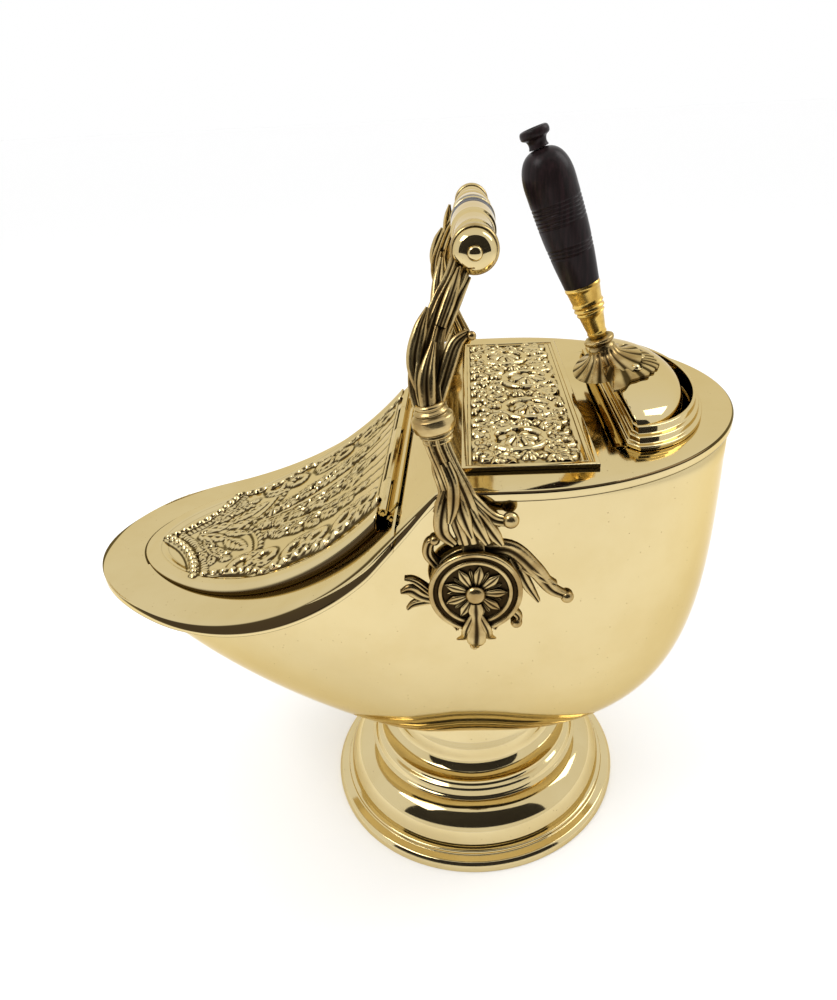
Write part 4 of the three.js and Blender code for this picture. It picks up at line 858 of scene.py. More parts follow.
def flat_ring(outer, inner, across=10):
    """A flat sheet between two closed loops that have the same number of points."""
    rows = [np.concatenate([outer + (inner - outer) * t, np.zeros((len(outer), 2))], 1)
            for t in np.linspace(0, 1, across)]
    return loft(rows)


def top_sheet(rear, seam, hole, hole_back, bends):
    """The mouth rim or the deck: a flat sheet around its opening, bent to the crest, and its roll."""
    edge, outline = clipped_run(rear, seam)
    back = np.linspace(edge[-1], edge[0], 42)[1:-1]
    inner = np.concatenate([resample(hole, len(edge)), resample(hole_back, 42)[1:-1]])
    sheet = flat_ring(np.concatenate([edge, back]), inner)
    roll = loft(band_rows(edge, outline, roll_drop(outline[:, 0])), around=False)
    mesh = joined(sheet, roll)
    bmesh.ops.remove_doubles(mesh, verts=mesh.verts, dist=1e-3)
    slice_along_x(mesh, bends)
    on_crest(mesh)
    return face_towards(mesh, upward)


def slot_loop(grow_front, grow_behind, grow_beside, count=96):
    """Slot outline: round the back, then along its straight front."""
    angle = np.radians(np.linspace(-90, 90, count))
    half = SLOT_HALF + grow_beside
    arc = np.stack([SLOT_X + (SLOT_DEPTH + grow_behind) * np.cos(angle), half * np.sin(angle)], 1)
    front = SLOT_X - grow_front
    return arc, np.linspace([front, half], [front, -half], 30)


class BUILD_OT_body(bpy.types.Operator):
    """Body, mouth rim and deck of sheet brass"""
    bl_idname = "scuttle.body"
    bl_label = "Body and Rim"

    def execute(self, context):
        place("hull", hull_mesh(), "scuttle", "body_shell", "polished_brass", 50, SHEET)
        tip, back = tongue(LID_HALF - 6, LID_LENGTH - 6, LID_REAR - 6)
        rim = top_sheet(False, SEAM_X - SEAM_GAP / 2, tip, back, np.arange(-262, -38, 3.0))
        place("rim_sheet", rim, "scuttle", "mouth_rim", "polished_brass", 20, SHEET, "rolled_brass")
        arc, front = slot_loop(0, 0, 0)
        deck = top_sheet(True, SEAM_X + SEAM_GAP / 2, arc, front, DECK_BENDS)
        place("deck_sheet", deck, "scuttle", "deck_plate", "polished_brass", 20, SHEET, "rolled_brass")
        return {"FINISHED"}


def lid_edges(x):
    """Half width of the lid at x."""
    share = np.clip((ROOT_X - np.asarray(x, float)) / LID_LENGTH, 0, 1) ** (1 / LID_POWER)
    return LID_HALF * np.sqrt(1 - share ** 2)


def lid_mesh(height):
    """The embossed lid with its side wall, whose foot and lower shoulder carry a painted dark reflection, and
    whose hollows carry painted shade.
    """
    tip = ROOT_X - LID_LENGTH
    stations = tip + (LID_REAR - tip) * np.linspace(0, 1, 196) ** 1.35
    share = np.sin(np.linspace(-np.pi / 2, np.pi / 2, 171) * 0.93) / math.sin(np.pi / 2 * 0.93)
    x, v = np.meshgrid(stations, share, indexing="ij")
    y = lid_edges(x) * v
    points = np.stack([x.ravel(), y.ravel()], 1)
    border, _ = tongue(LID_HALF, LID_LENGTH, LID_REAR)
    edge, _ = nearest(points, border)
    rise = LID_RISE * np.clip((points[:, 0] - tip) / (LID_REAR - 8 - tip), 0, 1.1) ** 0.62
    rise = np.maximum(rise, 1.2)
    shoulder = np.minimum(5.0, 0.85 * rise)
    fall = shoulder * (1 - np.sqrt(np.clip(1 - np.clip(1 - edge / shoulder, 0, 1) ** 2, 0, 1)))
    relief = lid_relief(points, edge) * height
    # Painted shade in the embossing's hollows, and a painted dark reflection on the lower shoulder.
    painted_dark = hollows(relief.reshape(x.shape), 0.4).ravel()
    painted_dark = np.maximum(painted_dark, np.clip(1.6 * fall / shoulder - 0.55, 0, 0.9))
    crown = crest(points[:, 0]) + rise - fall + relief
    grid = np.stack([points[:, 0], points[:, 1], crown, painted_dark], 1).reshape(*x.shape, 4)
    foot = grid[:, [0, -1]].copy()
    foot[:, :, 2] = crest(foot[:, :, 0]) + 0.4
    # Painted dark reflection on the side wall.
    foot[:, :, 3] = 0.9
    middle = 0.5 * (foot + grid[:, [0, -1]])
    rows = np.concatenate([foot[:, :1], middle[:, :1], grid, middle[:, 1:], foot[:, 1:]], axis=1)
    return face_towards(loft(rows, around=False), upward)


class BUILD_OT_lid(bpy.types.Operator):
    """Embossed lid"""
    bl_idname = "scuttle.lid"
    bl_label = "Lid"

    def execute(self, context):
        mesh = lid_mesh(context.scene.scuttle.relief)
        place("embossed_lid", mesh, "lid", "lid_panel", "polished_brass", 60, SHEET, "embossed_brass")
        return {"FINISHED"}


def panel_mesh(height):
    """The embossed sheet inside the frame, with a plain strip along its rear edge."""
    x0, x1, half = PANEL_X[0] + FRAME_WIDTH, PANEL_X[1] - FRAME_WIDTH, PANEL_HALF - FRAME_WIDTH
    x, y = np.meshgrid(np.linspace(x0, x1, 97), np.linspace(-half, half, 321), indexing="ij")
    points = np.stack([x.ravel(), y.ravel()], 1)
    relief = panel_relief(points)
    strip = np.clip((points[:, 0] - (x1 - 4)) / 0.8, 0, 1)
    relief = relief * (1 - strip) + strip
    z = DECK_Z + 0.8 + relief * height
    # Painted shade in the embossing's hollows and on its low ground.
    painted_dark = hollows((relief * height).reshape(x.shape), 0.45).ravel()
    painted_dark = np.maximum(painted_dark, 0.36 * np.clip(1 - relief / 0.6, 0, 1))
    grid = np.stack([points[:, 0], points[:, 1], z, painted_dark], 1).reshape(*x.shape, 4)
    return face_towards(loft(grid, around=False), upward)


def frame_mesh():
    """Stepped frame around the panel."""
    profile = [(0, 0.3), (0, 2.9), (3.6, 2.9), (3.9, 1.8), (6, 1.8), (6, 0.3), (0.2, 0.3), (0, 0.3)]
    rows = []
    for inset, z in soften(profile, 0.7):
        x0, x1, half = PANEL_X[0] + inset, PANEL_X[1] - inset, PANEL_HALF - inset
        rows.append([(x, y, DECK_Z + z) for x, y in ((x0, -half), (x1, -half), (x1, half), (x0, half))])
    mesh = loft(rows)
    bmesh.ops.recalc_face_normals(mesh, faces=mesh.faces)
    return mesh


def slot_mesh():
    """Three-stepped moulding around the shovel's slot."""
    profile = soften([(0, 0.3), (0, 11.8), (2.6, 11.8), (2.9, 7.4), (5.6, 7.2), (5.9, 3.4),
                      (8.5, 3.2), (8.7, 0.3), (0.3, 0.3), (0, 0.3)], 0.8)
    rows = []
    for out, z in profile:
        at = [0, 2.6, 5.6, 8.7]
        front = np.interp(out, at, [0, 2, 4.3, 6.5])
        behind = np.interp(out, at, [0, 1.8, 3.6, 5.9])
        beside = np.interp(out, at, [0, 3.5, 9, 13.5])
        arc, bar = slot_loop(front, behind, beside)
        loop = np.concatenate([arc, bar[1:-1]])
        rows.append(np.concatenate([loop, np.full((len(loop), 1), DECK_Z + z)], 1))
    mesh = loft(rows)
    bmesh.ops.recalc_face_normals(mesh, faces=mesh.faces)
    return mesh


class BUILD_OT_deck(bpy.types.Operator):
    """Embossed panel with its frame, and the moulding round the slot"""
    bl_idname = "scuttle.deck"
    bl_label = "Deck Ornament"

    def execute(self, context):
        panel = panel_mesh(context.scene.scuttle.relief)
        place("embossed_panel", panel, "scuttle", "deck_panel", "polished_brass", 60, 0.5, "embossed_brass")
        place("panel_moulding", frame_mesh(), "scuttle", "panel_frame", "polished_brass", 40)
        place("slot_trim", slot_mesh(), "scuttle", "slot_moulding", "polished_brass", 40)
        return {"FINISHED"}


# ------------------------------------------------------------------ shovel

def blade_mesh():
    """The rounded heel and the blade behind it, cut away in front along the leaning line and below it."""
    angle = np.linspace(0, 2 * np.pi, 160, endpoint=False)
    aside = HEEL_HALF * np.sin(angle)
    around = np.stack([HEEL_DEPTH * np.cos(angle), aside], 1)
    rows = []
    for turn in np.linspace(90, 0, 26):
        reach = max(math.cos(math.radians(turn)), 0) ** 0.5
        z = DECK_Z + HEEL_HEIGHT * math.sin(math.radians(turn)) ** 0.5
        rows.append(np.concatenate([around * reach + [BLADE_X, 0], np.full((160, 1), z)], 1))
    tip = BLADE_TIP_Z + 60 - 60 * np.sqrt(1 - (aside / (HEEL_HALF + 1)) ** 2)
    for share in np.linspace(0.04, 1, 22):
        z = DECK_Z + (tip - DECK_Z) * share
        rows.append(np.concatenate([around + [BLADE_X, 0], z[:, None]], 1))
    mesh = loft(rows)
    lean = Vector((math.cos(LEAN), 0, math.sin(LEAN)))
    for at, normal in (((BLADE_X, 0, BEND_Z), lean), ((BLADE_X, 0, 0), Vector((1, 0, 0)))):
        geometry = mesh.verts[:] + mesh.edges[:] + mesh.faces[:]
        bmesh.ops.bisect_plane(mesh, geom=geometry, dist=1e-4, plane_co=at, plane_no=normal)
    bend = Vector((BLADE_X, 0, BEND_Z))
    gone = []
    for face in mesh.faces:
        middle = face.calc_center_median()
        if middle.x < BLADE_X and (middle.z < BEND_Z or (middle - bend).dot(lean) < 0):
            gone.append(face)
    bmesh.ops.delete(mesh, geom=gone, context="FACES")
    return face_towards(mesh, lambda place: (place - Vector((BLADE_X - 30, 0, 320))).normalized())


def on_handle(mesh):
    """Leans a piece made about Z, from the socket up, along the handle."""
    matrix = Matrix.Translation((HANDLE_X, 0, SOCKET_Z)) @ Matrix.Rotation(-HANDLE_LEAN, 4, "Y")
    return moved(mesh, matrix)


def heel_height(x, y):
    """Height of the blade's domed heel above a place on the deck."""
    share = np.minimum(np.hypot((x - BLADE_X) / HEEL_DEPTH, y / HEEL_HALF) ** 4, 1)
    return DECK_Z + HEEL_HEIGHT * (1 - share) ** 0.25


def fan_mesh():
    """Cast fan on the heel: a scalloped leaf whose ribs run into the neck, with painted shade between the
    ribs.
    """
    outline = np.array([(-10, 60), (-1, 56), (6, 43), (15, 38), (24, 25), (31, 11)], float)
    outline = np.concatenate([spline(outline, 50), spline(outline, 50)[::-1] * [1, -1]])
    outline[:, 0] += BLADE_X
    count = 180
    loop = resample(np.concatenate([outline, outline[:1]]), count + 1)[:-1]
    centre = np.array([BLADE_X + 2, 0.0])
    rows = []
    wave = 0.5 + 0.5 * np.cos(np.arctan2(loop[:, 1], loop[:, 0] - centre[0]) * 22)
    for s in np.linspace(0, 1, 30):
        reach = s * (1 - 0.05 * (1 - wave) * s ** 4)
        at = centre + (loop - centre) * reach[:, None]
        thick = 3.0 - 1.2 * s ** 6 + (0.9 * wave - 0.3) * min(1, 2.5 * s) * (1 - s ** 8)
        z = heel_height(at[:, 0], at[:, 1]) + thick
        z = np.where(at[:, 0] < BLADE_X, np.minimum(z, DECK_Z + HEEL_HEIGHT + 3.2), z)
        # Painted shade between the ribs.
        dark = (1 - wave) ** 1.5 * min(1, 2.5 * s)
        rows.append(np.stack([at[:, 0], at[:, 1], z, dark], 1))
    skirt = rows[-1].copy()
    skirt[:, 2] = heel_height(skirt[:, 0], skirt[:, 1]) + 0.3
    rows.append(skirt)
    rows.append(np.repeat([[centre[0], 0, DECK_Z + HEEL_HEIGHT + 0.3, 0]], count, 0))
    return loft(rows)


def neck_mesh():
    """Flaring, fluted neck between the fan and the handle's collar, with painted shade in its flutes."""
    angle = np.linspace(0, 2 * np.pi, 144, endpoint=False)
    ridge = np.abs(np.cos(angle * 7))
    rows = []
    for z in np.linspace(-13.5, -1, 26):
        t = (z + 13.5) / 12.5
        radius = (9.2 + 15 * (1 - t) ** 2.4) * (1 + 0.13 * (1 - t) ** 0.5 * t ** 0.15 * (ridge - 0.6))
        wide = 1 + 0.5 * (1 - t) ** 2
        # Painted shade in the flutes.
        dark = (1 - ridge) ** 1.2 * (1 - t) ** 0.3
        row = [radius * np.cos(angle), wide * radius * np.sin(angle), np.full(144, z), dark]
        rows.append(np.stack(row, 1))
    bottom, top = rows[0] * [0, 0, 1, 1], rows[-1] * [0, 0, 1, 1]
    collar = turned(soften([(0, -2), (9.4, -2), (8.4, 0.2), (7.4, 1.6), (9, 2.4), (10.4, 3.6), (10.4, 5.8),
                            (8.4, 7), (3.4, 7.2), (0, 7.2)], 0.8), 64)
    return on_handle(joined(loft([bottom, *rows, top]), collar))


def rivet_mesh(behind, aside):
    """A domed rivet in a dished washer, on the heel behind and beside the blade's middle."""
    profile = [(0, 2.6), (1.6, 2.3), (2.7, 1.5), (3.2, 0.2), (3.3, 0), (3.9, 0.1), (4.3, 0.4), (4.6, 0),
               (4.4, -1), (1.4, -1.2), (1.4, -5), (0, -5)]
    mesh = turned(soften(profile, 0.3), 28)
    top = float(heel_height(BLADE_X + behind, aside)) + 3.3
    return moved(mesh, Matrix.Translation((BLADE_X + behind, aside, top)))


def ferrule_profile():
    """Tapering ferrule with five raised rings."""
    start, end = 7.3, 45.3
    beads_at = [(17.5, 1.0), (21, 1.5), (24.5, 1.0), (36, 0.6), (2.5, 0.8)]
    line = [(3.3, start), (5.9, start)]
    for z in np.linspace(start + 1, end - 0.6, 40):
        radius = 5.6 + 6.4 * ((z - start) / 38) ** 0.9
        for up, height in beads_at:
            radius += height * math.exp(-((z - start - up) / 0.9) ** 2)
        line.append((radius, z))
    return [*line, (11.6, end), (3.3, end), (3.3, start)]


def handle_profile():
    """Turned handle: a slender waist, two sets of fine grooves and a domed end."""
    start, end, radius, crown = 45.6, 133.6, 16.8, 22
    waist = spline([(12, start), (radius * 0.86, start + 19), (radius * 0.965, start + 42),
                    (radius, end - crown)], 40)
    angle = np.radians(np.linspace(0, 84, 30))
    domed = np.stack([radius * np.cos(angle) ** 0.72, end - crown + crown * np.sin(angle) ** 0.9], 1)[1:]
    side = resample(np.concatenate([waist, domed]), 240)
    for middle in [*(start + 22 + 2.6 * k for k in range(3)), *(end - 46 + 2.6 * k for k in range(6))]:
        side[:, 0] -= 0.45 * np.exp(-((side[:, 1] - middle) / 0.45) ** 2)
    return [(0, start + 32), (3.3, start + 32), (3.3, start), *side, (4, end), (0, end)]


def finial_profile():
    """Dished button on the handle's end."""
    start, end = 133.9, 145.9
    neck = [(0, start), (6.6, start), (5.9, start + 1.5), (5.8, start + 3.4)]
    button = [(6.6, 6.6), (7.6, 6), (9.2, 5.2), (9.6, 3), (9, 0.8), (7.4, 0), (5.4, 1.6), (4.4, 2.4),
              (0, 2.8)]
    return soften([*neck, *((radius, end - below) for radius, below in button)], 0.9)


class BUILD_OT_shovel(bpy.types.Operator):
    """Shovel with its cast socket, gilt ferrule and ebonised handle"""
    bl_idname = "scuttle.shovel"
    bl_label = "Shovel"

    def execute(self, context):
        place("heel_and_blade", blade_mesh(), "shovel", "shovel_blade", "polished_brass", 40, SHEET)
        place("fan_socket", joined(fan_mesh(), neck_mesh()), "shovel", "shovel_socket", "cast_brass", 50)
        for number, spot in enumerate([(11, -25), (18, 0), (11, 25)], 1):
            name = f"shovel_rivet_{number}"
            place(f"domed_rivet_{number}", rivet_mesh(*spot), "shovel", name, "polished_brass", 50)
        for name, profile, steps, node, slot, sharp in [
            ("ringed_ferrule", ferrule_profile(), 72, "shovel_ferrule", "gilt_brass", 50),
            ("turned_handle", handle_profile(), 96, "shovel_handle", "ebonised_wood", 60),
            ("turned_finial", finial_profile(), 64, "shovel_finial", "ebonised_wood", 50),
        ]:
            place(name, on_handle(turned(profile, steps)), "shovel", node, slot, sharp)
        return {"FINISHED"}


# ------------------------------------------------------------------ bail

def towards_near(mesh, x, z):
    """Turns a piece made about Z to point at the near side from the line through (x, z)."""
    return moved(mesh, Matrix.Translation((x, 0, z)) @ Matrix.Rotation(math.pi / 2, 4, "X"))


def body_side(z):
    """Half width of the body at a height."""
    angle = np.arcsin(np.clip((DECK_Z - z) / (DECK_Z - BODY_Z), 0, 1) ** (1 / BULGE_SIDE[1]))
    return BODY_FLAT + (HALF_WIDTH - 2.3 - BODY_FLAT) * math.cos(angle) ** BULGE_SIDE[0]


def on_side(x, z, width):
    """A station for horn on the body's near side, from the pivot along and up."""
    round_off = max(0, PIVOT[0] + x - REAR_X) ** 2 / (2 * HALF_WIDTH)
    y = -(body_side(PIVOT[1] + z) + 0.8 - round_off)
    return [PIVOT[0] + x, y, PIVOT[1] + z, width, 3.0]


def escutcheon_mesh():
    """Cast plate behind the flower: a disc with leaves and tendrils that end in balls."""
    disc = turned(soften([(0, 141), (25.5, 141), (26, 150.6), (25.5, PLATE_Y), (0, PLATE_Y)], 0.6), 72)
    parts = [towards_near(disc, *PIVOT)]
    runs = [
        [(2, 24, 4), (20, 23, 5.5), (34, 9, 5), (44, -6, 4), (52, -12, 3)],
        [(21, 18, 4), (30, -2, 3.4), (37, -15, 1.2)],
        [(16, -16, 3), (25, -26, 2.4), (24, -31, 2)],
        [(-18, -13, 3), (-31, -9, 4), (-38, -4, 4.4), (-44, -5, 1)],
        [(-20, 12, 3), (-26, 21, 3.4), (-25, 29, 3), (-21, 31, 2)],
        [(-1, -22, 7), (-1, -33, 7.5), (-1, -43, 4.4), (-2, -51, 1.6)],
        [(26, 12, 3), (38, 3, 3), (47, -3, 1.4)],
        [(8, -21, 2.8), (13, -28, 2.6), (11, -36, 1.2)],
        [(-10, -21, 2.8), (-14, -28, 2.6), (-12, -36, 1.2)],
        [(-25, -12, 2.6), (-36, -14, 2.6), (-41, -18, 1)],
        [(-26, -6, 2.6), (-35, 3, 2.4), (-41, 5, 1)],
    ]
    parts += [horn([on_side(*stop) for stop in line], 20, 26, midrib=0.45) for line in runs]
    for along, up, radius in ((54, -13.5, 4), (24, -31.5, 3.6), (-2, -51, 2.8), (-22, 31, 3.2)):
        x, y, z = on_side(along, up, radius)[:3]
        parts.append(ball(x, y - 0.2 * radius, z, radius))
    return joined(*parts)


def roundel_mesh(petals):
    """Two rings around a flower with two layers of petals, and a hanging leaf in front."""
    back, front = PLATE_Y + 5.2, PLATE_Y + 8.6
    floor = front - 2.0
    r = ROUNDEL
    outer_ring = [(r, back), (r, front - 1), (r - 0.8, front), (r - 2.6, front), (r - 3.4, floor)]
    inner_ring = [(r - 5.2, floor), (r - 5.8, front - 0.3), (r - 7.6, front - 0.3), (r - 8.4, floor)]
    profile = soften([(BORE, back), *outer_ring, *inner_ring, (BORE, floor), (BORE, back)], 0.5)
    # Painted shade on the sunken ground between the rings and on the foot of their walls.
    rings = marked(turned(profile, 96), lambda place: 1.0 if back + 1 < place.z < floor + 0.3 else 0.0)
    parts = [towards_near(rings, *PIVOT)]
    x, z = PIVOT
    for layer, (reach, height, wide) in enumerate(((r - 8.8, 2.4, 2.7), (r - 11, 0.6, 1.3))):
        for i in range(petals):
            angle = 2 * math.pi * (i + 0.5 * layer) / petals
            shape = [(4.6, 0.6, 1.0), (9, 1.0, 0.8 * wide), (13.5, 1.0, wide), (reach, 0.3, 0.2)]
            stops = [[x + radius * math.cos(angle), -(floor + lift * height * 0.6),
                      z + radius * math.sin(angle), width, 1.1] for radius, lift, width in shape]
            parts.append(horn(stops, 16, 14, midrib=0.5))
    y = -(front + 1.0)
    high, middle, low = (on_side(-1, down, 1)[1] for down in (-36, -40, -44))
    drops = [
        [[x, y, z - 6, 3, 1.6], [x, y, z - 11, 4.6, 2.2], [x, y, z - 16, 3.4, 2], [x, y, z - 25, 5.2, 2.2],
         [x - 0.5, y, z - 33, 5.4, 2.4], [x - 1, 0.6 * y + 0.4 * middle, z - 40, 2.6, 2.2],
         [x - 1, 0.4 * y + 0.6 * low, z - 45, 2.4, 2], [x - 1, low, z - 49, 0.6, 0.6]],
    ]
    for side, tip in ((-1, 12), (1, 11)):
        drops.append([[x + side * 2, y, z - 14, 1.6, 1.4], [x + side * 6, y, z - 24, 2.6, 1.8],
                      [x + side * 7, 0.7 * y + 0.3 * high, z - 33, 2.6, 1.8],
                      [x + side * tip, 0.4 * y + 0.6 * high, z - 39, 0.6, 0.8]])
    parts += [horn(line, 24, 24, midrib=0.4) for line in drops]
    return joined(*parts)


def stud_mesh():
    """Stud with a domed head, which the arm turns on."""
    head = PLATE_Y + 8.9
    inner = body_side(PIVOT[1] - 8) - 9
    profile = soften([(0, inner), (4, inner), (4, head), (5.6, head), (5.7, head + 1.2), (4.6, head + 2.8),
                      (2.6, head + 3.6), (0, head + 3.9)], 0.6)
    return towards_near(turned(profile, 40), *PIVOT)


RING_Y = 108.5          # middle of the ring that holds the grip, from the scuttle's middle
LEAF_SWELL = 1.28       # width of the arm's leaves over their thickness


def on_arm(share, behind, outside, width, thickness=None):
    """A station for horn beside the line from the pivot to the grip, at a share of its length."""
    bend = (max(share - 0.3, 0) / 0.7) ** 2.2
    y = ARM_Y + (RING_Y - ARM_Y) * bend
    x = PIVOT[0] + (GRIP[0] - PIVOT[0]) * share + behind
    z = PIVOT[1] + (GRIP[1] - PIVOT[1]) * share
    return [x, -y - outside, z, width, thickness or width]


def arm_mesh():
    """Cast arm: an eye, a fluted stem wrapped in leaves, a knop, and a ring for the grip."""
    inside = PLATE_Y + 0.3
    eye = turned(soften([(BORE, inside), (15, inside), (15, EYE_Y), (BORE, EYE_Y), (BORE, inside)], 0.6), 48)
    mid = -(PLATE_Y + 2.6)
    x, z = PIVOT
    neck = horn([[x, mid, z + 6, 8, 2], [x, mid, z + 19, 6.5, 2], [x - 0.5, mid, z + 28.5, 6.5, 2.1],
                 on_arm(0.21, -3, -0.4, 8, 3.6)], 24, 20)
    stem = [
        (0.19, -2, 0, 7, 3.6), (0.27, -5, 0, 8.5, 4.6), (0.35, -9, 0, 7.6, 4.4),
        (0.43, -14.4, 0, 6.2, 5), (0.51, -20, 0, 6, 6), (0.57, -21.7, 0, 7, 6.6),
        (0.66, -25, 0, 8.6, 6.6), (0.73, -25, 0, 8, 6.2), (0.8, -22, 0, 6.2, 5),
        (0.87, -17, 0, 5.6, 4.6), (0.93, -10.6, 0, 5.6, 4.6), (0.985, -6, 0, 5.6, 4),
    ]
    shaft = horn([on_arm(*stop) for stop in stem], 72, 90, 9, 0.13)
    rings = soften([(0, -11), (7.4, -11), (8.6, -9.6), (7.4, -8), (9.4, -6.4), (8.2, -5), (10.9, -3.6),
                    (11.5, 0), (10.9, 3.6), (8.2, 5), (9.4, 6.4), (7.4, 8), (8.2, 9.6), (7, 11), (0, 11)], 0.7)
    at = on_arm(0.57, -21.7, 0, 0.1)[:3]
    knop = moved(turned(rings, 48), Matrix.Translation(at) @ Matrix.Rotation(math.radians(-10), 4, "Y"))
    leaves = [
        [(0.385, -13.6, -1, 3), (0.3, -18, 2, 3.4), (0.235, -18, 3, 3.2), (0.19, -11.6, 3, 1.6)],
        [(0.36, -10.4, 2, 3), (0.28, -6, 4, 3.2), (0.215, -2, 4, 1.2)],
        [(0.33, -6.3, 0, 3), (0.25, 1, 3, 3.2), (0.19, 6.5, 3, 1.6)],
        [(0.34, -6.4, -1, 3), (0.275, 3, 1, 3.2), (0.215, 10, 1, 3), (0.176, 14.5, 1, 1.2)],
        [(0.375, -8.6, -2, 3), (0.32, 0, 0, 3), (0.27, 9, 0, 3), (0.255, 17, 0, 2.4)],
        [(0.46, -16, 4, 2.4), (0.4, -12, 6, 2.6), (0.33, -12, 6, 2.6), (0.27, -14, 5, 1)],
        [(0.5, -19, -3, 2.4), (0.43, -20, -2, 2.6), (0.36, -17, 0, 2.4), (0.3, -22, 2, 1)],
        [(0.62, -25, 1, 3), (0.73, -30.5, 4, 3.6), (0.815, -28, 8, 3), (0.875, -24, 10, 0.8)],
        [(0.62, -20, 2, 3), (0.715, -14.4, 4, 3.4), (0.78, -9.8, 6, 3), (0.81, -3, 8, 1.2)],
        [(0.61, -24, 6, 3.2), (0.705, -24.4, 9, 3.6), (0.79, -21, 9, 1.2)],
        [(0.62, -23, -5, 3), (0.7, -25, -7, 3.2), (0.78, -24, -7, 1.2)],
        [(0.83, -20, 0, 3), (0.925, -18.6, 2, 2.6), (0.985, -17, 4, 0.8)],
        [(0.82, -18, 4, 2.6), (0.9, -12, 6, 2.6), (0.96, -8, 6, 1)],
        [(0.78, -18, -3, 2.6), (0.86, -11, -3, 2.6), (0.93, -3, -3, 1)],
    ]
    parts = [towards_near(eye, *PIVOT), neck, shaft, knop]
    for line in leaves:
        stops = [on_arm(share, behind, out, LEAF_SWELL * width, width) for share, behind, out, width in line]
        parts.append(horn(stops, 20, 30, midrib=0.5))
    for share, behind, out, radius in ((0.26, 19, 0, 4.8), (0.8, -2, 8, 2.4)):
        parts.append(ball(*on_arm(share, behind, out, radius)[:3], radius))
    ring_profile = [(BORE, 104), (12, 104), (12.9, 105.4), (12.9, 111.6), (12, 113), (BORE, 113), (BORE, 104)]
    parts.append(towards_near(turned(soften(ring_profile, 0.8), 64), *GRIP))
    return joined(*parts)


# Profiles round the grip's rod: radius, and distance from the scuttle's middle.
BAND_PROFILE = [(BORE, -1.5), (14, -1.5), (14.7, -0.7), (14.7, 0.7), (14, 1.5), (BORE, 1.5), (BORE, -1.5)]
GRIP_PIECES = [
    ("dark_collar", "grip_collar", "ebonised_wood",
     [(BORE, 1.8), (14, 1.8), (14.2, 2.6), (14.2, 9), (13.9, 9.5), (14.1, 10), (13.8, 17.4), (13.2, 18),
      (BORE, 18), (BORE, 1.8)]),
    ("turned_sleeve", "grip_sleeve", "polished_brass",
     [(BORE, 18.3), (13.7, 18.3), (13.9, 20), (13.5, 32), (13, 44), (13.5, 46), (13.7, 48), (13.5, 50),
      (12.6, 52), (11.9, 58), (11.4, 70), (11.2, 80), (11.8, 84), (12.1, 88), (11.6, 91), (10.2, 94),
      (10.2, 95.6), (11.4, 97), (11.5, 99.4), (10.9, 100.4), (11.4, 101.4), (11.2, 103.7), (BORE, 103.7),
      (BORE, 18.3)]),
    ("domed_cap", "grip_cap", "polished_brass",
     [(2.5, 113.6), (10.6, 113.6), (11.4, 115), (11.3, 117), (10.4, 119.2), (8.6, 121), (6, 122),
      (3.9, 122.3), (3.9, 122.1), (2.5, 122.1), (2.5, 113.6)]),
    ("grip_end_screw", "grip_screw", "polished_brass",
     [(0, 104.3), (2.2, 104.3), (2.2, 122.4), (3.8, 122.4), (3.6, 123.6), (2.4, 124.4), (0, 124.7)]),
]


class BUILD_OT_bail(bpy.types.Operator):
    """Cast arms, the plates and flowers they turn on, and the turned grip"""
    bl_idname = "scuttle.bail"
    bl_label = "Bail and Pivots"

    def execute(self, context):
        flower_mesh = roundel_mesh(context.scene.scuttle.petals)
        place_pair("scroll_plate", escutcheon_mesh(), "scuttle", "escutcheon", "cast_brass", 60)
        place_pair("flower_boss", flower_mesh, "scuttle", "roundel", "cast_brass", 55)
        place_pair("domed_stud", stud_mesh(), "scuttle", "pivot_stud", "cast_brass")
        place_pair("leafy_arm", arm_mesh(), "bail", "bail_arm", "cast_brass", 60)
        band = turned(soften(BAND_PROFILE, 0.5), 72)
        place("middle_band", towards_near(band, *GRIP), "bail", "grip_band", "polished_brass")
        for name, node, slot, profile in GRIP_PIECES:
            mesh = towards_near(turned(soften(profile, 0.9), 80), *GRIP)
            place_pair(name, mesh, "bail", node, slot, 45)
        return {"FINISHED"}


# ------------------------------------------------------------------ foot and hidden parts

def arc(x, z, rx, rz, start, stop, steps):
    angle = np.radians(np.linspace(start, stop, steps))
    return list(zip(x + rx * np.cos(angle), z + rz * np.sin(angle)))


def foot_profile():
    """The spun foot from its rolled edge over ogee, beads and cove to the disc under the body."""
    edge = [(120, 0), (125, 0), (125, 5), (122.5, 8.5), (116, 9.2), (115.6, 12.2), (112.6, 12.8)]
    beads_above = [(90.4, 42.2), (88.4, 43.4), (87.2, 46), (85.8, 48.6), (82.6, 50.4), (81.4, 52.4)]
    neck = [(66.4, 71), (64.8, 74), (63.4, 77), (61, 84), (59.4, 90), (57.6, 96), (57.2, 98.6), (55.4, 100.7),
            (30, 100.7), (BORE, 100.7)]
    inner = [(BORE, 99.1), (55, 99.1), (61.6, 75), *arc(80.5, 67.5, 15.5, 16.5, -172, -100, 14), (84, 43),
             *arc(88, 13, 22.4, 27, 84, 4, 20), (120, 6), (120, 0)]
    return [*soften(edge, 1.0), *arc(88, 13, 24.5, 29, 2, 84, 30), *soften(beads_above, 0.9),
            *arc(80.5, 67.5, 13.5, 14.5, -86, -172, 22), *soften(neck, 0.8), *inner]


class BUILD_OT_foot(bpy.types.Operator):
    """Spun foot"""
    bl_idname = "scuttle.foot"
    bl_label = "Foot"

    def execute(self, context):
        place("spun_foot", turned(foot_profile(), 160), "scuttle", "foot", "polished_brass", 40)
        return {"FINISHED"}


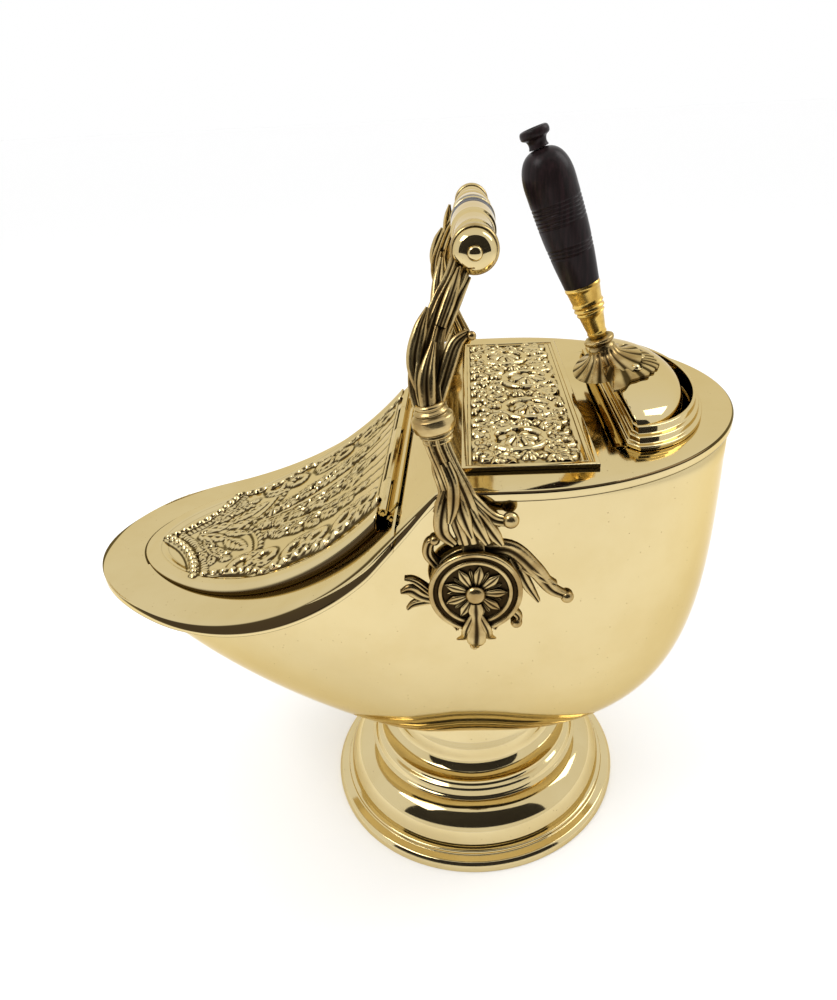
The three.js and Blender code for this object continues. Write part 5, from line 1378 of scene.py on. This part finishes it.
KEPT = {
    "polished_brass": ["shovel_pocket", "deck_hinge_leaf", "lid_hinge_leaf", "hinge_pin"],
    "steel": ["foot_bolt", "foot_washer", "foot_nut", "pivot_nut_near", "pivot_nut_far", "grip_rod",
              "shovel_tang"],
}


class BUILD_OT_kept(bpy.types.Operator):
    """Finishes for the solids that stay as they are"""
    bl_idname = "scuttle.kept"
    bl_label = "Hinge, Pocket and Fasteners"

    def execute(self, context):
        for slot, names in KEPT.items():
            for name in names:
                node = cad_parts[name]
                if not node.material_slots:
                    node.data.materials.append(None)
                for material_slot in node.material_slots:
                    material_slot.material = look_for(slot)
        return {"FINISHED"}


# ------------------------------------------------------------------ stage

def add_lamp(name, spot, target, size, power):
    """A rectangular lamp at a spot, turned to its target."""
    data = bpy.data.lights.new(name, "AREA")
    data.shape = "RECTANGLE"
    data.size, data.size_y = size
    data.energy = power
    lamp = bpy.data.objects.new(name, data)
    lamp.location = spot
    lamp.rotation_euler = (Vector(target) - Vector(spot)).to_track_quat("-Z", "Y").to_euler()
    bpy.context.scene.collection.objects.link(lamp)


def add_sheet(name, matrix, look, tone, roughness, grain, bump):
    """A flat square of the stage, one metre each way before its matrix."""
    mesh = bmesh.new()
    bmesh.ops.create_grid(mesh, x_segments=1, y_segments=1, size=0.5)
    moved(mesh, matrix)
    data = bpy.data.meshes.new(name)
    mesh.to_mesh(data)
    mesh.free()
    data.materials.append(look.finish(tone, roughness, look.bump(look.noise(grain), bump, 0.001), 0.0))
    sheet = bpy.data.objects.new(name, data)
    bpy.context.scene.collection.objects.link(sheet)
    return sheet


def add_card(name, middle, width, height, colour):
    """An upright card behind the camera, which the brass mirrors and the camera doesn't see."""
    upright = Matrix.Translation(middle) @ Matrix.Rotation(-math.pi / 2, 4, "X")
    sized = upright @ Matrix.Diagonal((width, height, 1, 1))
    card = add_sheet(name, sized, Look(name), opaque(colour), 0.9, 20.0, 0.1)
    card.visible_camera = card.visible_shadow = card.visible_diffuse = False


def add_floor(colour):
    look = Look("floor")
    tone = look.mix(look.noise(6.0, 3.0) * 0.4, opaque(colour), scaled(colour, (0.995, 0.995, 0.995)))
    add_sheet("floor", Matrix.Scale(80, 4), look, tone, 0.7, 40.0, 0.05)


def add_world(daylight):
    """Light from all round, which the camera and the brass see as plain white."""
    world = bpy.data.worlds.new("studio")
    world.use_nodes = True
    bpy.context.scene.world = world
    nodes, links = world.node_tree.nodes, world.node_tree.links
    nodes.clear()
    path = nodes.new("ShaderNodeLightPath")
    seen = path.outputs["Is Camera Ray"]
    for kind in ("Is Glossy Ray", "Is Transmission Ray"):
        either = nodes.new("ShaderNodeMath")
        either.operation = "ADD"
        either.use_clamp = True
        links.new(seen, either.inputs[0])
        links.new(path.outputs[kind], either.inputs[1])
        seen = either.outputs[0]
    mix = nodes.new("ShaderNodeMixShader")
    links.new(seen, mix.inputs[0])
    for number, strength in enumerate((daylight, 1.0), 1):
        light = nodes.new("ShaderNodeBackground")
        light.inputs["Color"].default_value = (1, 1, 1, 1)
        light.inputs["Strength"].default_value = strength
        links.new(light.outputs[0], mix.inputs[number])
    output = nodes.new("ShaderNodeOutputWorld")
    links.new(mix.outputs[0], output.inputs["Surface"])


def add_camera():
    """The camera that was fitted to the photograph."""
    data = bpy.data.cameras.new("camera")
    data.sensor_width = 36
    data.lens = 26.98
    data.shift_x = -0.0316
    data.shift_y = 0.0024
    yaw, pitch, roll = -0.041, 0.487, -0.051
    ahead = Vector((math.sin(yaw) * math.cos(pitch), math.cos(yaw) * math.cos(pitch), -math.sin(pitch)))
    right = Vector((math.cos(yaw), -math.sin(yaw), 0))
    up = right.cross(ahead)
    turned_right = math.cos(roll) * right + math.sin(roll) * up
    turned_up = math.cos(roll) * up - math.sin(roll) * right
    matrix = Matrix((turned_right, turned_up, -ahead)).transposed().to_4x4()
    matrix.translation = (0.058391, -0.512724, 0.538611)
    camera = bpy.data.objects.new("camera", data)
    camera.matrix_world = matrix
    bpy.context.scene.collection.objects.link(camera)
    bpy.context.scene.camera = camera


class BUILD_OT_stage(bpy.types.Operator):
    """Pale floor, soft lamps, dark card and the camera"""
    bl_idname = "scuttle.stage"
    bl_label = "Stage"

    def execute(self, context):
        sizes = context.scene.scuttle
        add_floor(sizes.floor)
        add_world(sizes.daylight)
        add_lamp("soft key", (-0.9, -0.5, 1.5), (0, 0, 0.3), (0.8, 0.6), sizes.lamp)
        add_lamp("soft fill", (1.1, 0.3, 1.4), (0.05, 0, 0.3), (0.6, 0.9), sizes.lamp * 0.7)
        add_card("dark card", (0.0, -1.15, 1.32), 3.4, 2.1, (0.012, 0.01, 0.01))
        add_camera()
        context.scene.view_settings.view_transform = "Standard"
        return {"FINISHED"}


# ------------------------------------------------------------------ add-on

def colour_property(name, description, default):
    return bpy.props.FloatVectorProperty(name=name, description=description, default=default,
                                         size=3, min=0, max=1, subtype="COLOR")


class ScuttleSizes(bpy.types.PropertyGroup):
    relief: bpy.props.FloatProperty(
        name="Relief", description="Depth of the embossing, 1 as on the real lid", default=1.0,
        min=0.2, max=2, subtype="FACTOR")
    petals: bpy.props.IntProperty(
        name="Petals", description="Petals in each layer of the pivot flowers", default=9, min=5, max=16)
    brass: colour_property("Brass", "Polished brass", (0.66, 0.54, 0.29))
    gilding: colour_property("Gilding", "Gilt ferrule", (0.74, 0.50, 0.13))
    casting: colour_property("Casting", "Cast arms, plates and socket", (0.54, 0.41, 0.19))
    steel: colour_property("Steel", "Bolts and rods", (0.2, 0.19, 0.18))
    ebony: colour_property("Ebony", "Ebonised wood", (0.009, 0.006, 0.006))
    floor: colour_property("Floor", "Pale studio floor", (1.0, 1.0, 1.0))
    lamp: bpy.props.FloatProperty(
        name="Lamps", description="Power of the key lamp", default=9.0, min=0, max=100, unit="POWER")
    daylight: bpy.props.FloatProperty(
        name="Daylight", description="Strength of the light from all round", default=1.0, min=0, max=2)


OPERATORS = [BUILD_OT_stage, BUILD_OT_foot, BUILD_OT_body, BUILD_OT_lid, BUILD_OT_deck, BUILD_OT_shovel,
             BUILD_OT_bail, BUILD_OT_kept]


class BUILD_PT_scuttle(bpy.types.Panel):
    """Lists the scuttle's pieces"""
    bl_idname = "BUILD_PT_scuttle"
    bl_label = "Coal Scuttle"
    bl_space_type = "VIEW_3D"
    bl_region_type = "UI"
    bl_category = "Scuttle"

    def draw(self, context):
        for name in ScuttleSizes.__annotations__:
            self.layout.prop(context.scene.scuttle, name)
        for operator in OPERATORS:
            self.layout.operator(operator.bl_idname)


CLASSES = [ScuttleSizes, *OPERATORS, BUILD_PT_scuttle]


def register():
    for cls in CLASSES:
        bpy.utils.register_class(cls)
    bpy.types.Scene.scuttle = bpy.props.PointerProperty(type=ScuttleSizes)


def unregister():
    del bpy.types.Scene.scuttle
    for cls in reversed(CLASSES):
        bpy.utils.unregister_class(cls)


def main():
    register()
    build = bpy.ops.scuttle
    for step in (build.stage, build.foot, build.body, build.lid, build.deck, build.shovel, build.bail,
                 build.kept):
        step()


if __name__ == "__main__":
    main()
